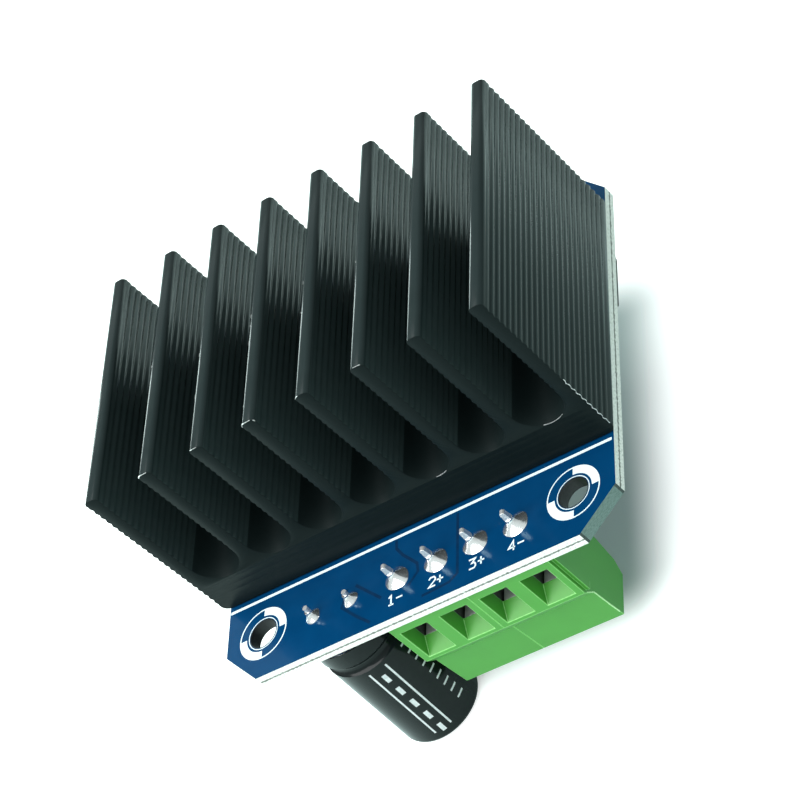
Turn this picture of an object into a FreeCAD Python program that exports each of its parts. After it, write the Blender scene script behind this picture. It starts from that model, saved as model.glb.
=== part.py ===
import FreeCAD, Part
import math
import os

import Sketcher

# DC motor driver module.
# Millimetres. The origin is the centre of the four corner holes, on the solder face of the board.
# +X runs along the terminal edge, +Y from the terminal edge to the header edge, and +Z to the fins.

doc = FreeCAD.newDocument("dc_motor_driver_module")
sheet = doc.addObject("Spreadsheet::Sheet", "sizes")

SIZES = {
    # Circuit board
    "board_width": 50.0,
    "board_front_strip": 10.9,
    "board_back_strip": 7.6,
    "board_thickness": 1.6,
    "board_corner_cut": 4.4,
    "mount_inset_x": 5.0,
    "mount_inset_y": 5.6,
    "mount_hole_radius": 1.8,
    "lead_hole_clearance": 0.2,
    # Heatsink
    "pad_thickness": 0.15,
    "pad_inset": 2.5,
    "sink_length": 31.5,
    "sink_height": 22.62,
    "sink_corner_radius": 0.95,
    "fin_pitch": 6.904,
    "outer_fin_shift": 0.527,
    "fin_thickness": 1.7,
    "fin_tip_radius": 0.35,
    "channel_floor": 4.65,
    "ridge_pitch": 0.9,
    "ridge_land": 0.2,
    "ridge_depth": 0.14,
    "ridge_margin": 0.6,
    "notch_reach": 0.02,
    # Heatsink screws
    "sink_screw_front_inset": 5.7,
    "sink_screw_back_inset": 3.0,
    "sink_screw_radius": 1.5,
    "sink_screw_length": 5.5,
    "sink_screw_head_radius": 2.75,
    "sink_screw_head_height": 2.0,
    "sink_screw_head_cut": 0.6,
    "sink_screw_lead_in": 0.3,
    "sink_screw_recess_width": 0.7,
    "sink_screw_recess_length": 3.0,
    "sink_screw_recess_depth": 1.1,
    "screw_clearance": 0.1,
    "thread_clearance": 0.03,
    # Screw terminals
    "pole_pitch": 5.0,
    "pole_wall": 1.1,
    "terminal_shift": 5.5,
    "pin_inset": 4.84,
    "pin_width": 0.8,
    "pin_depth": 0.6,
    "pin_tip": 2.5,
    "pin_tip_width": 0.56,
    "pin_tip_cut": 0.12,
    "housing_front_reach": 4.59,
    "housing_back_reach": 3.86,
    "housing_front_wall": 1.85,
    "housing_lip": 0.95,
    "nose_height": 6.7,
    "shoulder_drop": 1.6,
    "shoulder_set": 1.15,
    "foot_set": 1.6,
    "back_slope_rise": 5.1,
    "back_knee_rise": 1.5,
    "back_knee_set": 0.7,
    "back_foot_set": 1.7,
    "chamber_length": 4.0,
    "cage_clearance": 0.05,
    "driver_lip": 0.15,
    "mouth_flare": 0.28,
    "mouth_top": 1.3,
    "mouth_sill": 0.5,
    "throat_clearance": 0.05,
    "throat_rise": 0.1,
    "dovetail_inset": 0.9,
    "dovetail_width": 0.7,
    "dovetail_flare": 0.15,
    "dovetail_reach": 0.5,
    "dovetail_height": 6.9,
    "dovetail_clearance": 0.06,
    # Contacts, wire clamps and clamp screws
    "contact_side_gap": 0.15,
    "contact_thickness": 0.8,
    "contact_top_thickness": 0.7,
    "contact_level": 5.0,
    "contact_leg_gap": 0.1,
    "contact_clearance": 0.05,
    "cage_wall": 0.45,
    "cage_top_gap": 0.85,
    "cage_top_wall": 0.6,
    "cage_nut_gap": 0.25,
    "cage_nut": 1.6,
    "clamp_travel": 3.4,
    "travel_gap": 0.15,
    "clamp_screw_radius": 1.25,
    "clamp_screw_lead_in": 0.4,
    "clamp_screw_head_gap": 0.2,
    "clamp_screw_head_height": 1.5,
    "clamp_screw_head_cut": 0.2,
    "clamp_screw_slot_width": 0.6,
    "clamp_screw_slot_depth": 0.8,
    "clamp_screw_end_gap": 0.05,
    # Capacitor
    "capacitor_gap": 1.0,
    "capacitor_lean": 2.85,
    "capacitor_lean_heading": 218.5,
    "capacitor_radius": 5.1,
    "capacitor_standoff": 0.3,
    "capacitor_length": 17.8,
    "sleeve_thickness": 0.12,
    "sleeve_end_overlap": 1.2,
    "can_edge_cut": 0.45,
    "groove_height": 2.9,
    "groove_depth": 0.5,
    "groove_radius": 0.9,
    "groove_reach": 0.8,
    "can_wall": 0.28,
    "bung_height": 1.9,
    "vent_length": 6.0,
    "vent_width": 0.3,
    "vent_depth": 0.15,
    "lead_pitch": 5.0,
    "lead_radius": 0.3,
    "lead_rise": 1.5,
    # Control header
    "header_inset": 3.6,
    "header_pitch": 2.54,
    "header_columns": 4,
    "header_base_height": 2.54,
    "header_cell_cut": 0.45,
    "header_pin_width": 0.64,
    "header_pin_rise": 1.4,
    "header_pin_reach": 6.0,
    # Solder fillets
    "solder_spread": 0.9,
    "solder_wall": 0.18,
    "solder_height": 1.25,
    "solder_curve": 1.6,
    "lead_solder_spread": 0.6,
    "lead_solder_wall": 0.15,
    "lead_solder_height": 1.0,
    "lead_solder_curve": 1.2,
    "header_solder_spread": 0.4,
    "header_solder_height": 0.8,
    # Power chips
    "bridge_inset_x": 7.6,
    "bridge_inset_y": 8.5,
    "bridge_length": 8.2,
    "bridge_width": 10.0,
    "bridge_height": 4.4,
    "bridge_standoff": 0.1,
    "bridge_edge_cut": 0.75,
    "bridge_edge_drop": 0.6,
    "tab_width": 8.6,
    "tab_thickness": 1.27,
    "tab_inset": 2.4,
    "tab_reach": 0.9,
    "tab_corner_cut": 1.0,
    "bridge_lead_pitch": 1.27,
    "bridge_lead_width": 0.6,
    "bridge_lead_thickness": 0.5,
    "bridge_lead_level": 2.3,
    "bridge_lead_shoulder": 1.1,
    "bridge_lead_drop": 1.3,
    "bridge_lead_reach": 5.0,
    "bridge_stub": 0.8,
    # Logic chip
    "logic_length": 12.8,
    "logic_width": 7.5,
    "logic_height": 2.45,
    "logic_standoff": 0.15,
    "logic_edge_cut": 0.4,
    "logic_edge_drop": 0.55,
    "logic_lead_pitch": 1.27,
    "logic_lead_count": 10,
    "logic_lead_width": 0.42,
    "logic_lead_thickness": 0.25,
    "logic_lead_level": 1.2,
    "logic_lead_shoulder": 0.3,
    "logic_lead_drop": 0.25,
    "logic_lead_reach": 1.4,
    # Small parts
    "resistor_length": 2.0,
    "resistor_width": 1.25,
    "resistor_height": 0.55,
    "small_capacitor_height": 0.9,
    "small_part_pitch": 2.6,
    "small_capacitor_inset": 2.8,
}
for row, (alias, size) in enumerate(SIZES.items(), start=1):
    sheet.set(f"A{row}", alias)
    sheet.set(f"B{row}", str(size))
    sheet.setAlias(f"B{row}", alias)
doc.recompute()


def number(expression):
    """The value of an expression in the sheet's sizes."""
    return float(sheet.evalExpression(expression))


def size(alias):
    """The expression for one named size."""
    return f"sizes.{alias}"


def new_piece(label):
    """An empty body that becomes one node."""
    piece = doc.addObject("PartDesign::Body", label)
    piece.Label = label
    return piece


def origin_feature(piece, role):
    return [feature for feature in piece.Origin.OriginFeatures if feature.Role == role][0]


def new_sketch(piece, name, plane, offset=("0", "0", "0")):
    """A sketch on one of the body's planes, moved by three expressions along the sketch's own axes.

    On XY_Plane these run along +X, +Y, +Z, on XZ_Plane along +X, +Z, -Y and on YZ_Plane along +Y, +Z, +X.
    """
    sketch = piece.newObject("Sketcher::SketchObject", f"{piece.Label}_{name}")
    sketch.AttachmentSupport = [(origin_feature(piece, plane), "")]
    sketch.MapMode = "FlatFace"
    for axis, expression in zip("xyz", offset):
        if expression != "0":
            sketch.setExpression(f"AttachmentOffset.Base.{axis}", expression)
    return sketch


def pin_point(sketch, constraints, bound, geometry, place, point):
    """Tie a point of the sketch to two expressions."""
    for kind, axis_line, expression in (("DistanceX", -2, point[0]), ("DistanceY", -1, point[1])):
        reach = number(expression)
        if expression == "0":
            constraints.append(Sketcher.Constraint("PointOnObject", geometry, place, axis_line))
            continue
        bound.append((sketch.ConstraintCount + len(constraints), expression))
        constraints.append(Sketcher.Constraint(kind, -1, 1, geometry, place, reach))


def draw(sketch, points, arcs=None):
    """Draw a closed outline through the points, given as pairs of expressions.

    arcs maps the number of a run to (radius, side): the run turns about a centre on that side of it.
    A radius of None makes the run a half circle.
    """
    arcs = arcs or {}
    first = sketch.GeometryCount
    places = [FreeCAD.Vector(number(x), number(y), 0) for x, y in points]
    count = len(points)
    geometry, ends = [], []
    for run in range(count):
        start, end = places[run], places[(run + 1) % count]
        if run not in arcs:
            geometry.append(Part.LineSegment(start, end))
            ends.append((1, 2))
            continue
        radius, side = arcs[run]
        half = (end - start) * 0.5
        reach = half.Length if radius is None else number(radius)
        left = FreeCAD.Vector(-half.y, half.x, 0).normalize()
        rise = math.sqrt(max(reach ** 2 - half.Length ** 2, 0.0))
        centre = start + half + left * (rise if side == "left" else -rise)
        if side != "left":
            start, end = end, start
        turn = [math.atan2(p.y - centre.y, p.x - centre.x) for p in (start, end)]
        circle = Part.Circle(centre, FreeCAD.Vector(0, 0, 1), reach)
        geometry.append(Part.ArcOfCircle(circle, *turn))
        ends.append((1, 2) if side == "left" else (2, 1))
    sketch.addGeometry(geometry, False)
    constraints, bound = [], []
    for run in range(count):
        following = (run + 1) % count
        joint = (first + run, ends[run][1], first + following, ends[following][0])
        constraints.append(Sketcher.Constraint("Coincident", *joint))
        pin_point(sketch, constraints, bound, first + run, ends[run][0], points[run])
        if run in arcs and arcs[run][0] is None:
            constraints.append(Sketcher.Constraint("Horizontal", first + run, 3, first + run, 1))
        elif run in arcs:
            bound.append((sketch.ConstraintCount + len(constraints), arcs[run][0]))
            constraints.append(Sketcher.Constraint("Radius", first + run, number(arcs[run][0])))
    sketch.addConstraint(constraints)
    for index, expression in bound:
        sketch.setExpression(f"Constraints[{index}]", expression)


def draw_box(sketch, left, right, low, high):
    draw(sketch, [(left, low), (right, low), (right, high), (left, high)])


def draw_circle(sketch, x, y, radius):
    first = sketch.GeometryCount
    centre = FreeCAD.Vector(number(x), number(y), 0)
    sketch.addGeometry(Part.Circle(centre, FreeCAD.Vector(0, 0, 1), number(radius)), False)
    constraints, bound = [], []
    pin_point(sketch, constraints, bound, first, 3, (x, y))
    bound.append((sketch.ConstraintCount + len(constraints), radius))
    constraints.append(Sketcher.Constraint("Radius", first, number(radius)))
    sketch.addConstraint(constraints)
    for index, expression in bound:
        sketch.setExpression(f"Constraints[{index}]", expression)


def feature(piece, kind, sketch, name, **settings):
    """A feature of the body made from a sketch, with its length bound to an expression if it has one."""
    made = piece.newObject(f"PartDesign::{kind}", f"{piece.Label}_{name}")
    made.Profile = sketch
    length = settings.pop("length", None)
    for key, setting in settings.items():
        setattr(made, key, setting)
    if length:
        made.setExpression("Length", length)
    sketch.Visibility = False
    return made


def pad(piece, sketch, name, length, **settings):
    return feature(piece, "Pad", sketch, name, length=length, **settings)


def pocket(piece, sketch, name, length=None, **settings):
    if length is None:
        settings.update(Type="ThroughAll", SideType="Symmetric")
    return feature(piece, "Pocket", sketch, name, length=length, **settings)


def revolve(piece, sketch, name):
    made = feature(piece, "Revolution", sketch, name)
    made.ReferenceAxis = (sketch, ["V_Axis"])
    made.Angle = 360
    return made


def pattern(piece, originals, name, role, spacing, count, reversed_way=False):
    """Repeat features along one axis of the body, count times."""
    made = piece.newObject("PartDesign::LinearPattern", f"{piece.Label}_{name}")
    made.Originals = originals
    made.Direction = (origin_feature(piece, role), [""])
    made.Reversed = reversed_way
    made.Mode = "Spacing"
    made.setExpression("Offset", spacing)
    made.setExpression("Occurrences", count)
    piece.Tip = made
    return made


# Levels and places that several pieces share
BOARD_UNDER = "(-sizes.board_thickness)"
BOARD_DEPTH = "(sizes.board_front_strip + sizes.sink_length + sizes.board_back_strip)"
FRONT_EDGE = f"(-{BOARD_DEPTH} / 2)"
BACK_EDGE = f"({BOARD_DEPTH} / 2)"
SINK_FRONT = f"({FRONT_EDGE} + sizes.board_front_strip)"
SINK_BACK = f"({BACK_EDGE} - sizes.board_back_strip)"
SCREW_ROWS = {"front": f"({SINK_FRONT} + sizes.sink_screw_front_inset)",
              "back": f"({SINK_BACK} - sizes.sink_screw_back_inset)"}
CHIP_ROW = f"(({SCREW_ROWS['front']} + {SCREW_ROWS['back']}) / 2)"
SINK_BASE = "sizes.pad_thickness"
SINK_TOP = "(sizes.pad_thickness + sizes.sink_height)"
SINK_HALF = "(3.5 * sizes.fin_pitch + sizes.outer_fin_shift + sizes.fin_thickness / 2)"
PIN_ROW = f"({FRONT_EDGE} + sizes.pin_inset)"
HOUSING_FRONT = f"({PIN_ROW} - sizes.housing_front_reach)"
HOUSING_BACK = f"({PIN_ROW} + sizes.housing_back_reach)"
CHAMBER_FRONT = f"({HOUSING_FRONT} + sizes.housing_front_wall)"
CHAMBER_BACK = f"({CHAMBER_FRONT} + sizes.chamber_length)"
CHAMBER_MIDDLE = f"(({CHAMBER_FRONT} + {CHAMBER_BACK}) / 2)"
CHAMBER_HALF = "((sizes.pole_pitch - sizes.pole_wall) / 2)"
CAGE_HALF = f"({CHAMBER_HALF} - sizes.cage_clearance)"
WINDOW_HALF = f"({CAGE_HALF} - sizes.cage_wall)"
CONTACT_HALF = f"({WINDOW_HALF} - sizes.contact_side_gap)"
CLAMP_HEAD = f"({CHAMBER_HALF} - sizes.clamp_screw_head_gap)"
HEADER_ROW = f"({BACK_EDGE} - sizes.header_inset)"
POLES = 4
FINS = 8


def below(alias):
    """The level that lies one named height under the board."""
    return f"(-sizes.board_thickness - sizes.{alias})"


# Going down from the board in a terminal: the cage, the contact it rises to, its nut, and the screw
CAGE_TOP = below("cage_top_gap")
CAGE_CEILING = f"({CAGE_TOP} - sizes.cage_top_wall)"
CONTACT_TOP = below("contact_level")
CONTACT_FOOT = f"({CONTACT_TOP} - sizes.contact_thickness)"
CAGE_FLOOR = f"({CONTACT_FOOT} - sizes.cage_nut_gap)"
CAGE_FOOT = f"({CAGE_FLOOR} - sizes.cage_nut)"
HEAD_SEAT = f"({CAGE_FOOT} - sizes.clamp_travel - sizes.travel_gap)"
HEAD_FOOT = f"({HEAD_SEAT} - sizes.clamp_screw_head_height)"
LIP_TOP = f"({HEAD_FOOT} - sizes.clamp_screw_end_gap)"
HOUSING_FOOT = f"({LIP_TOP} - sizes.housing_lip)"


def pole(index):
    """The X of a terminal pole."""
    return f"(sizes.terminal_shift + {index - (POLES - 1) / 2} * sizes.pole_pitch)"


CAPACITOR_X = f"({pole(0)} - sizes.pole_pitch / 2 - sizes.capacitor_gap - sizes.capacitor_radius)"


def fin_centre(index):
    """The X of a fin: the two outer ones stand a little further out."""
    side = {0: "- sizes.outer_fin_shift", FINS - 1: "+ sizes.outer_fin_shift"}.get(index, "")
    return f"({index - (FINS - 1) / 2} * sizes.fin_pitch {side})"


# Circuit board

def mount_holes():
    return [(f"{side_x} * (sizes.board_width / 2 - sizes.mount_inset_x)",
             f"{side_y} * ({BACK_EDGE} - sizes.mount_inset_y)")
            for side_x in (-1, 1) for side_y in (-1, 1)]


def header_places():
    """The centres of the header's pins."""
    columns = int(number(size("header_columns")))
    return [(f"({column} - (sizes.header_columns - 1) / 2) * sizes.header_pitch",
             f"({HEADER_ROW} + {row} * sizes.header_pitch)")
            for column in range(columns) for row in (-0.5, 0.5)]


def capacitor_leads():
    return [f"({CAPACITOR_X} + {side} * sizes.lead_pitch / 2)" for side in (-1, 1)]


def make_board():
    board = new_piece("circuit_board")
    outline = new_sketch(board, "outline", "XY_Plane", ("0", "0", BOARD_UNDER))
    half_x, half_y, cut = "sizes.board_width / 2", BACK_EDGE, "sizes.board_corner_cut"
    corners = []
    for side_x, side_y in ((-1, -1), (1, -1), (1, 1), (-1, 1)):
        near = (f"{side_x} * ({half_x} - {cut})", f"{side_y} * {half_y}")
        far = (f"{side_x} * {half_x}", f"{side_y} * ({half_y} - {cut})")
        corners += [far, near] if side_x * side_y > 0 else [near, far]
    draw(outline, corners)
    pad(board, outline, "sheet", size("board_thickness"))
    holes = new_sketch(board, "holes", "XY_Plane")
    for x, y in mount_holes():
        draw_circle(holes, x, y, size("mount_hole_radius"))
    for y in SCREW_ROWS.values():
        draw_circle(holes, "0", y, "sizes.sink_screw_radius + sizes.screw_clearance")
    for index in range(POLES):
        radius = "sizes.pin_width / 2 + sizes.lead_hole_clearance"
        draw_circle(holes, pole(index), PIN_ROW, radius)
    for x in capacitor_leads():
        draw_circle(holes, x, PIN_ROW, "sizes.lead_radius + sizes.lead_hole_clearance")
    for x, y in header_places():
        draw_circle(holes, x, y, "sizes.header_pin_width / 2 + sizes.lead_hole_clearance")
    pocket(board, holes, "drilling")


# Heatsink

def make_thermal_pad():
    sheet_piece = new_piece("thermal_pad")
    outline = new_sketch(sheet_piece, "outline", "XY_Plane")
    draw_box(outline, f"-({SINK_HALF} - sizes.pad_inset)", f"{SINK_HALF} - sizes.pad_inset",
             f"{SINK_FRONT} + sizes.pad_inset / 2", f"{SINK_BACK} - sizes.pad_inset / 2")
    for y in SCREW_ROWS.values():
        draw_circle(outline, "0", y, "sizes.sink_screw_radius + sizes.screw_clearance")
    pad(sheet_piece, outline, "sheet", size("pad_thickness"))


def draw_notch(sketch, face, way, level):
    """A V-shaped groove between two ridges, cut into an upright face in the direction of way."""
    half = "(sizes.ridge_pitch - sizes.ridge_land) / 2"
    spread = f"{half} * (1 + sizes.notch_reach / sizes.ridge_depth)"
    middle = f"({level} + sizes.ridge_pitch / 2)"
    mouth = f"{face} - {way} * sizes.notch_reach"
    draw(sketch, [(mouth, f"{middle} - {spread}"),
                  (f"{face} + {way} * sizes.ridge_depth", middle),
                  (mouth, f"{middle} + {spread}")])


def make_heatsink():
    sink = new_piece("heatsink")
    block = new_sketch(sink, "block", "XZ_Plane", ("0", "0", f"-{SINK_FRONT}"))
    draw_box(block, f"-{SINK_HALF}", SINK_HALF, SINK_BASE, SINK_TOP)
    pad(sink, block, "extrusion", size("sink_length"), Reversed=True)
    # Between two fins lies a channel with a full round floor
    channels = new_sketch(sink, "channels", "XZ_Plane")
    faces = []
    for index in range(FINS - 1):
        left = f"({fin_centre(index)} + sizes.fin_thickness / 2)"
        right = f"({fin_centre(index + 1)} - sizes.fin_thickness / 2)"
        spring = f"(sizes.pad_thickness + sizes.channel_floor + ({right} - {left}) / 2)"
        draw(channels, [(left, SINK_TOP), (left, spring), (right, spring), (right, SINK_TOP)],
             {1: (None, "left")})
        faces += [(left, -1), (right, 1)]
    last = pocket(sink, channels, "channel_cut")
    # Fin tips and the two lower corners are rounded
    half = number(SINK_HALF)
    for name, level, radius in (("tip_rounding", SINK_TOP, "fin_tip_radius"),
                                ("corner_rounding", SINK_BASE, "sink_corner_radius")):
        doc.recompute()
        edges = [f"Edge{count}" for count, edge in enumerate(last.Shape.Edges, start=1)
                 if edge.BoundBox.YLength > number(size("sink_length")) - 1e-6
                 and edge.BoundBox.ZLength < 1e-6 and abs(edge.BoundBox.ZMin - number(level)) < 1e-6
                 and (level == SINK_TOP or abs(abs(edge.BoundBox.XMin) - half) < 1e-6)]
        rounding = sink.newObject("PartDesign::Fillet", f"heatsink_{name}")
        rounding.Base = (last, edges)
        rounding.setExpression("Radius", size(radius))
        last = rounding
    # Ridges run the length of every fin face, down to where the channel's floor begins to curve
    first_inner = f"({SINK_TOP} - sizes.ridge_margin - sizes.ridge_pitch)"
    inner = new_sketch(sink, "inner_ridge", "XZ_Plane")
    for face, way in faces:
        draw_notch(inner, face, way, first_inner)
    inner_cut = pocket(sink, inner, "inner_groove")
    depth = ("(sizes.sink_height - sizes.channel_floor - sizes.ridge_margin"
             " - (sizes.fin_pitch + sizes.outer_fin_shift - sizes.fin_thickness) / 2)")
    pattern(sink, [inner_cut], "inner_grooves", "Z_Axis", size("ridge_pitch"),
            f"floor({depth} / sizes.ridge_pitch)", True)
    outer = new_sketch(sink, "outer_ridge", "XZ_Plane")
    draw_notch(outer, f"-{SINK_HALF}", 1, first_inner)
    draw_notch(outer, SINK_HALF, -1, first_inner)
    outer_cut = pocket(sink, outer, "outer_groove")
    pattern(sink, [outer_cut], "outer_grooves", "Z_Axis", size("ridge_pitch"),
            "floor((sizes.sink_height - sizes.ridge_margin - sizes.sink_corner_radius) / sizes.ridge_pitch)",
            True)
    # Tapped holes for the two screws that hold the heatsink
    holes = new_sketch(sink, "screw_holes", "XY_Plane", ("0", "0", SINK_BASE))
    for y in SCREW_ROWS.values():
        draw_circle(holes, "0", y, "sizes.sink_screw_radius + sizes.thread_clearance")
    depth = "sizes.sink_screw_length - sizes.board_thickness - sizes.pad_thickness + sizes.screw_clearance"
    pocket(sink, holes, "tapping", depth, Reversed=True)


def make_sink_screw(end):
    """A pan-head screw that comes up through the board into the heatsink."""
    screw = new_piece(f"heatsink_screw_{end}")
    y = SCREW_ROWS[end]
    profile = new_sketch(screw, "profile", "XZ_Plane", ("0", BOARD_UNDER, f"-{y}"))
    head, drop, cut = (size(f"sink_screw_{key}") for key in ("head_radius", "head_height", "head_cut"))
    shank, tip, lead_in = (size(f"sink_screw_{key}") for key in ("radius", "length", "lead_in"))
    draw(profile, [("0", tip), (f"{shank} - {lead_in}", tip), (shank, f"{tip} - {lead_in}"), (shank, "0"),
                   (head, "0"), (head, f"{cut} - {drop}"), (f"{head} - {cut}", f"-{drop}"), ("0", f"-{drop}")])
    revolve(screw, profile, "turning")
    recess = new_sketch(screw, "recess", "XY_Plane",
                        ("0", y, below("sink_screw_head_height")))
    half, wide = "sizes.sink_screw_recess_length / 2", "sizes.sink_screw_recess_width / 2"
    draw(recess, [(f"-{wide}", f"-{half}"), (wide, f"-{half}"), (wide, f"-{wide}"), (half, f"-{wide}"),
                  (half, wide), (wide, wide), (wide, half), (f"-{wide}", half), (f"-{wide}", wide),
                  (f"-{half}", wide), (f"-{half}", f"-{wide}"), (f"-{wide}", f"-{wide}")])
    pocket(screw, recess, "cross", size("sink_screw_recess_depth"), Reversed=True)


# Screw terminals

def make_housing(name, first):
    """A two-way terminal housing over the poles first and first + 1."""
    housing = new_piece(name)
    left = f"({pole(first)} - sizes.pole_pitch / 2)"
    width = "2 * sizes.pole_pitch"
    right = f"({left} + {width})"
    side = new_sketch(housing, "side", "YZ_Plane", ("0", "0", left))
    draw(side, [
        (HOUSING_FRONT, BOARD_UNDER),
        (HOUSING_BACK, BOARD_UNDER),
        (HOUSING_BACK, f"{HOUSING_FOOT} + sizes.back_slope_rise"),
        (f"{HOUSING_BACK} - sizes.back_knee_set", f"{HOUSING_FOOT} + sizes.back_knee_rise"),
        (f"{HOUSING_BACK} - sizes.back_foot_set", HOUSING_FOOT),
        (f"{HOUSING_FRONT} + sizes.foot_set", HOUSING_FOOT),
        (f"{HOUSING_FRONT} + sizes.shoulder_set", f"{below('nose_height')} - sizes.shoulder_drop"),
        (HOUSING_FRONT, below("nose_height")),
    ])
    pad(housing, side, "block", width)
    # Each pole has a chamber, open to the board, and a driver hole through the lip below it
    chambers = new_sketch(housing, "chambers", "XY_Plane", ("0", "0", BOARD_UNDER))
    drivers = new_sketch(housing, "drivers", "XY_Plane", ("0", "0", HOUSING_FOOT))
    slots = new_sketch(housing, "slots", "XY_Plane", ("0", "0", BOARD_UNDER))
    for index in (first, first + 1):
        centre = pole(index)
        draw_box(chambers, f"{centre} - {CHAMBER_HALF}", f"{centre} + {CHAMBER_HALF}",
                 CHAMBER_FRONT, CHAMBER_BACK)
        draw_circle(drivers, centre, CHAMBER_MIDDLE, f"{CLAMP_HEAD} - sizes.driver_lip")
        reach = f"({CONTACT_HALF} + sizes.contact_clearance)"
        draw_box(slots, f"{centre} - {reach}", f"{centre} + {reach}", CHAMBER_BACK,
                 f"{CHAMBER_BACK} + sizes.contact_leg_gap + sizes.contact_thickness"
                 " + sizes.contact_clearance")
    pocket(housing, chambers, "chamber_cut", f"{BOARD_UNDER} - {LIP_TOP}")
    pocket(housing, slots, "slot_cut",
           "sizes.contact_level + sizes.contact_thickness + sizes.contact_clearance")
    pocket(housing, drivers, "driver_cut", size("housing_lip"), Reversed=True)
    # The wire entry narrows from a wide mouth to the chamber
    throat_half = f"({WINDOW_HALF} - sizes.throat_clearance)"
    for index in (first, first + 1):
        centre = pole(index)
        mouth = new_sketch(housing, f"mouth_{index}", "XZ_Plane", ("0", "0", f"-{HOUSING_FRONT}"))
        draw_box(mouth, f"{centre} - {throat_half} - sizes.mouth_flare",
                 f"{centre} + {throat_half} + sizes.mouth_flare",
                 f"{below('nose_height')} + sizes.mouth_sill", below("mouth_top"))
        throat = new_sketch(housing, f"throat_{index}", "XZ_Plane", ("0", "0", f"-{CHAMBER_FRONT}"))
        draw_box(throat, f"{centre} - {throat_half}", f"{centre} + {throat_half}",
                 f"{CONTACT_TOP} + sizes.throat_rise", below("mouth_top"))
        entry = housing.newObject("PartDesign::SubtractiveLoft", f"{name}_entry_{index}")
        entry.Profile = mouth
        entry.Sections = [throat]
        entry.Ruled = True
    # A dovetail rib on the right fits the groove on the next housing's left
    for key, edge, clear in (("groove", left, "+ sizes.dovetail_clearance"), ("rib", right, "")):
        tail = new_sketch(housing, key, "XY_Plane", ("0", "0", BOARD_UNDER))
        half = f"(sizes.dovetail_width / 2 {clear})"
        middle, reach = f"({HOUSING_FRONT} + sizes.dovetail_inset)", f"(sizes.dovetail_reach {clear})"
        draw(tail, [(edge, f"{middle} - {half}"), (f"{edge} + {reach}", f"{middle} - {half} - sizes.dovetail_flare"),
                    (f"{edge} + {reach}", f"{middle} + {half} + sizes.dovetail_flare"), (edge, f"{middle} + {half}")])
        if key == "groove":
            pocket(housing, tail, key, f"sizes.dovetail_height {clear}")
        else:
            pad(housing, tail, key, size("dovetail_height"), Reversed=True)


def make_contact(index):
    """The bent strip that the wire is pressed against, with the pin that goes through the board."""
    contact = new_piece(f"contact_{index + 1}")
    side = new_sketch(contact, "side", "YZ_Plane", ("0", "0", f"{pole(index)} - {CONTACT_HALF}"))
    inner = f"({CHAMBER_BACK} + sizes.contact_leg_gap)"
    outer = f"({inner} + sizes.contact_thickness)"
    free_end = f"({CHAMBER_FRONT} + 2 * sizes.contact_clearance)"
    roof = f"({BOARD_UNDER} - sizes.contact_clearance)"
    ceiling = f"({roof} - sizes.contact_top_thickness)"
    top_end = f"({PIN_ROW} - sizes.pin_depth / 2)"
    draw(side, [(free_end, CONTACT_TOP), (inner, CONTACT_TOP), (inner, ceiling), (top_end, ceiling),
                (top_end, roof), (outer, roof), (outer, CONTACT_FOOT), (free_end, CONTACT_FOOT)])
    pad(contact, side, "strip", f"2 * {CONTACT_HALF}")
    pin = new_sketch(contact, "pin", "XZ_Plane", (pole(index), "0", f"-{PIN_ROW}"))
    wide, thin = "sizes.pin_width / 2", "sizes.pin_tip_width / 2"
    tip, cut, neck = "sizes.pin_tip", "sizes.pin_tip_cut", "sizes.solder_height"
    draw(pin, [(f"-{wide}", roof), (wide, roof), (wide, neck), (thin, f"{tip} - {cut}"),
               (f"{thin} - {cut}", tip), (f"{cut} - {thin}", tip), (f"-{thin}", f"{tip} - {cut}"),
               (f"-{wide}", neck)])
    pad(contact, pin, "post", size("pin_depth"), SideType="Symmetric")


def make_wire_clamp(index):
    """The cage round the contact: its thick wall is the nut of the screw."""
    cage = new_piece(f"wire_clamp_{index + 1}")
    front = f"-({CHAMBER_FRONT} + sizes.cage_clearance)"
    frame = new_sketch(cage, "frame", "XZ_Plane", (pole(index), "0", front))
    draw_box(frame, f"-{CAGE_HALF}", CAGE_HALF, CAGE_FOOT, CAGE_TOP)
    draw_box(frame, f"-{WINDOW_HALF}", WINDOW_HALF, CAGE_FLOOR, CAGE_CEILING)
    pad(cage, frame, "loop", "sizes.chamber_length - 2 * sizes.cage_clearance", Reversed=True)
    thread = new_sketch(cage, "thread", "XY_Plane", (pole(index), "0", CAGE_FLOOR))
    draw_circle(thread, "0", CHAMBER_MIDDLE, "sizes.clamp_screw_radius + sizes.thread_clearance")
    pocket(cage, thread, "tapping", size("cage_nut"))


def make_clamp_screw(index):
    """The slotted screw: its end bears on the contact and its head lies on the housing's lip."""
    screw = new_piece(f"clamp_screw_{index + 1}")
    end = f"({CONTACT_FOOT} - sizes.clamp_screw_end_gap)"
    profile = new_sketch(screw, "profile", "XZ_Plane", (pole(index), "0", f"-{CHAMBER_MIDDLE}"))
    shank, lead_in, cut = (size(f"clamp_screw_{key}") for key in ("radius", "lead_in", "head_cut"))
    draw(profile, [("0", end), (f"{shank} - {lead_in}", end), (shank, f"{end} - {lead_in}"),
                   (shank, HEAD_SEAT), (CLAMP_HEAD, HEAD_SEAT), (CLAMP_HEAD, f"{HEAD_FOOT} + {cut}"),
                   (f"{CLAMP_HEAD} - {cut}", HEAD_FOOT), ("0", HEAD_FOOT)])
    revolve(screw, profile, "turning")
    slot = new_sketch(screw, "slot", "XY_Plane", (pole(index), CHAMBER_MIDDLE, HEAD_FOOT))
    draw_box(slot, f"-1.1 * {CLAMP_HEAD}", f"1.1 * {CLAMP_HEAD}", "-sizes.clamp_screw_slot_width / 2",
             "sizes.clamp_screw_slot_width / 2")
    pocket(screw, slot, "slot_cut", size("clamp_screw_slot_depth"), Reversed=True)


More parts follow.
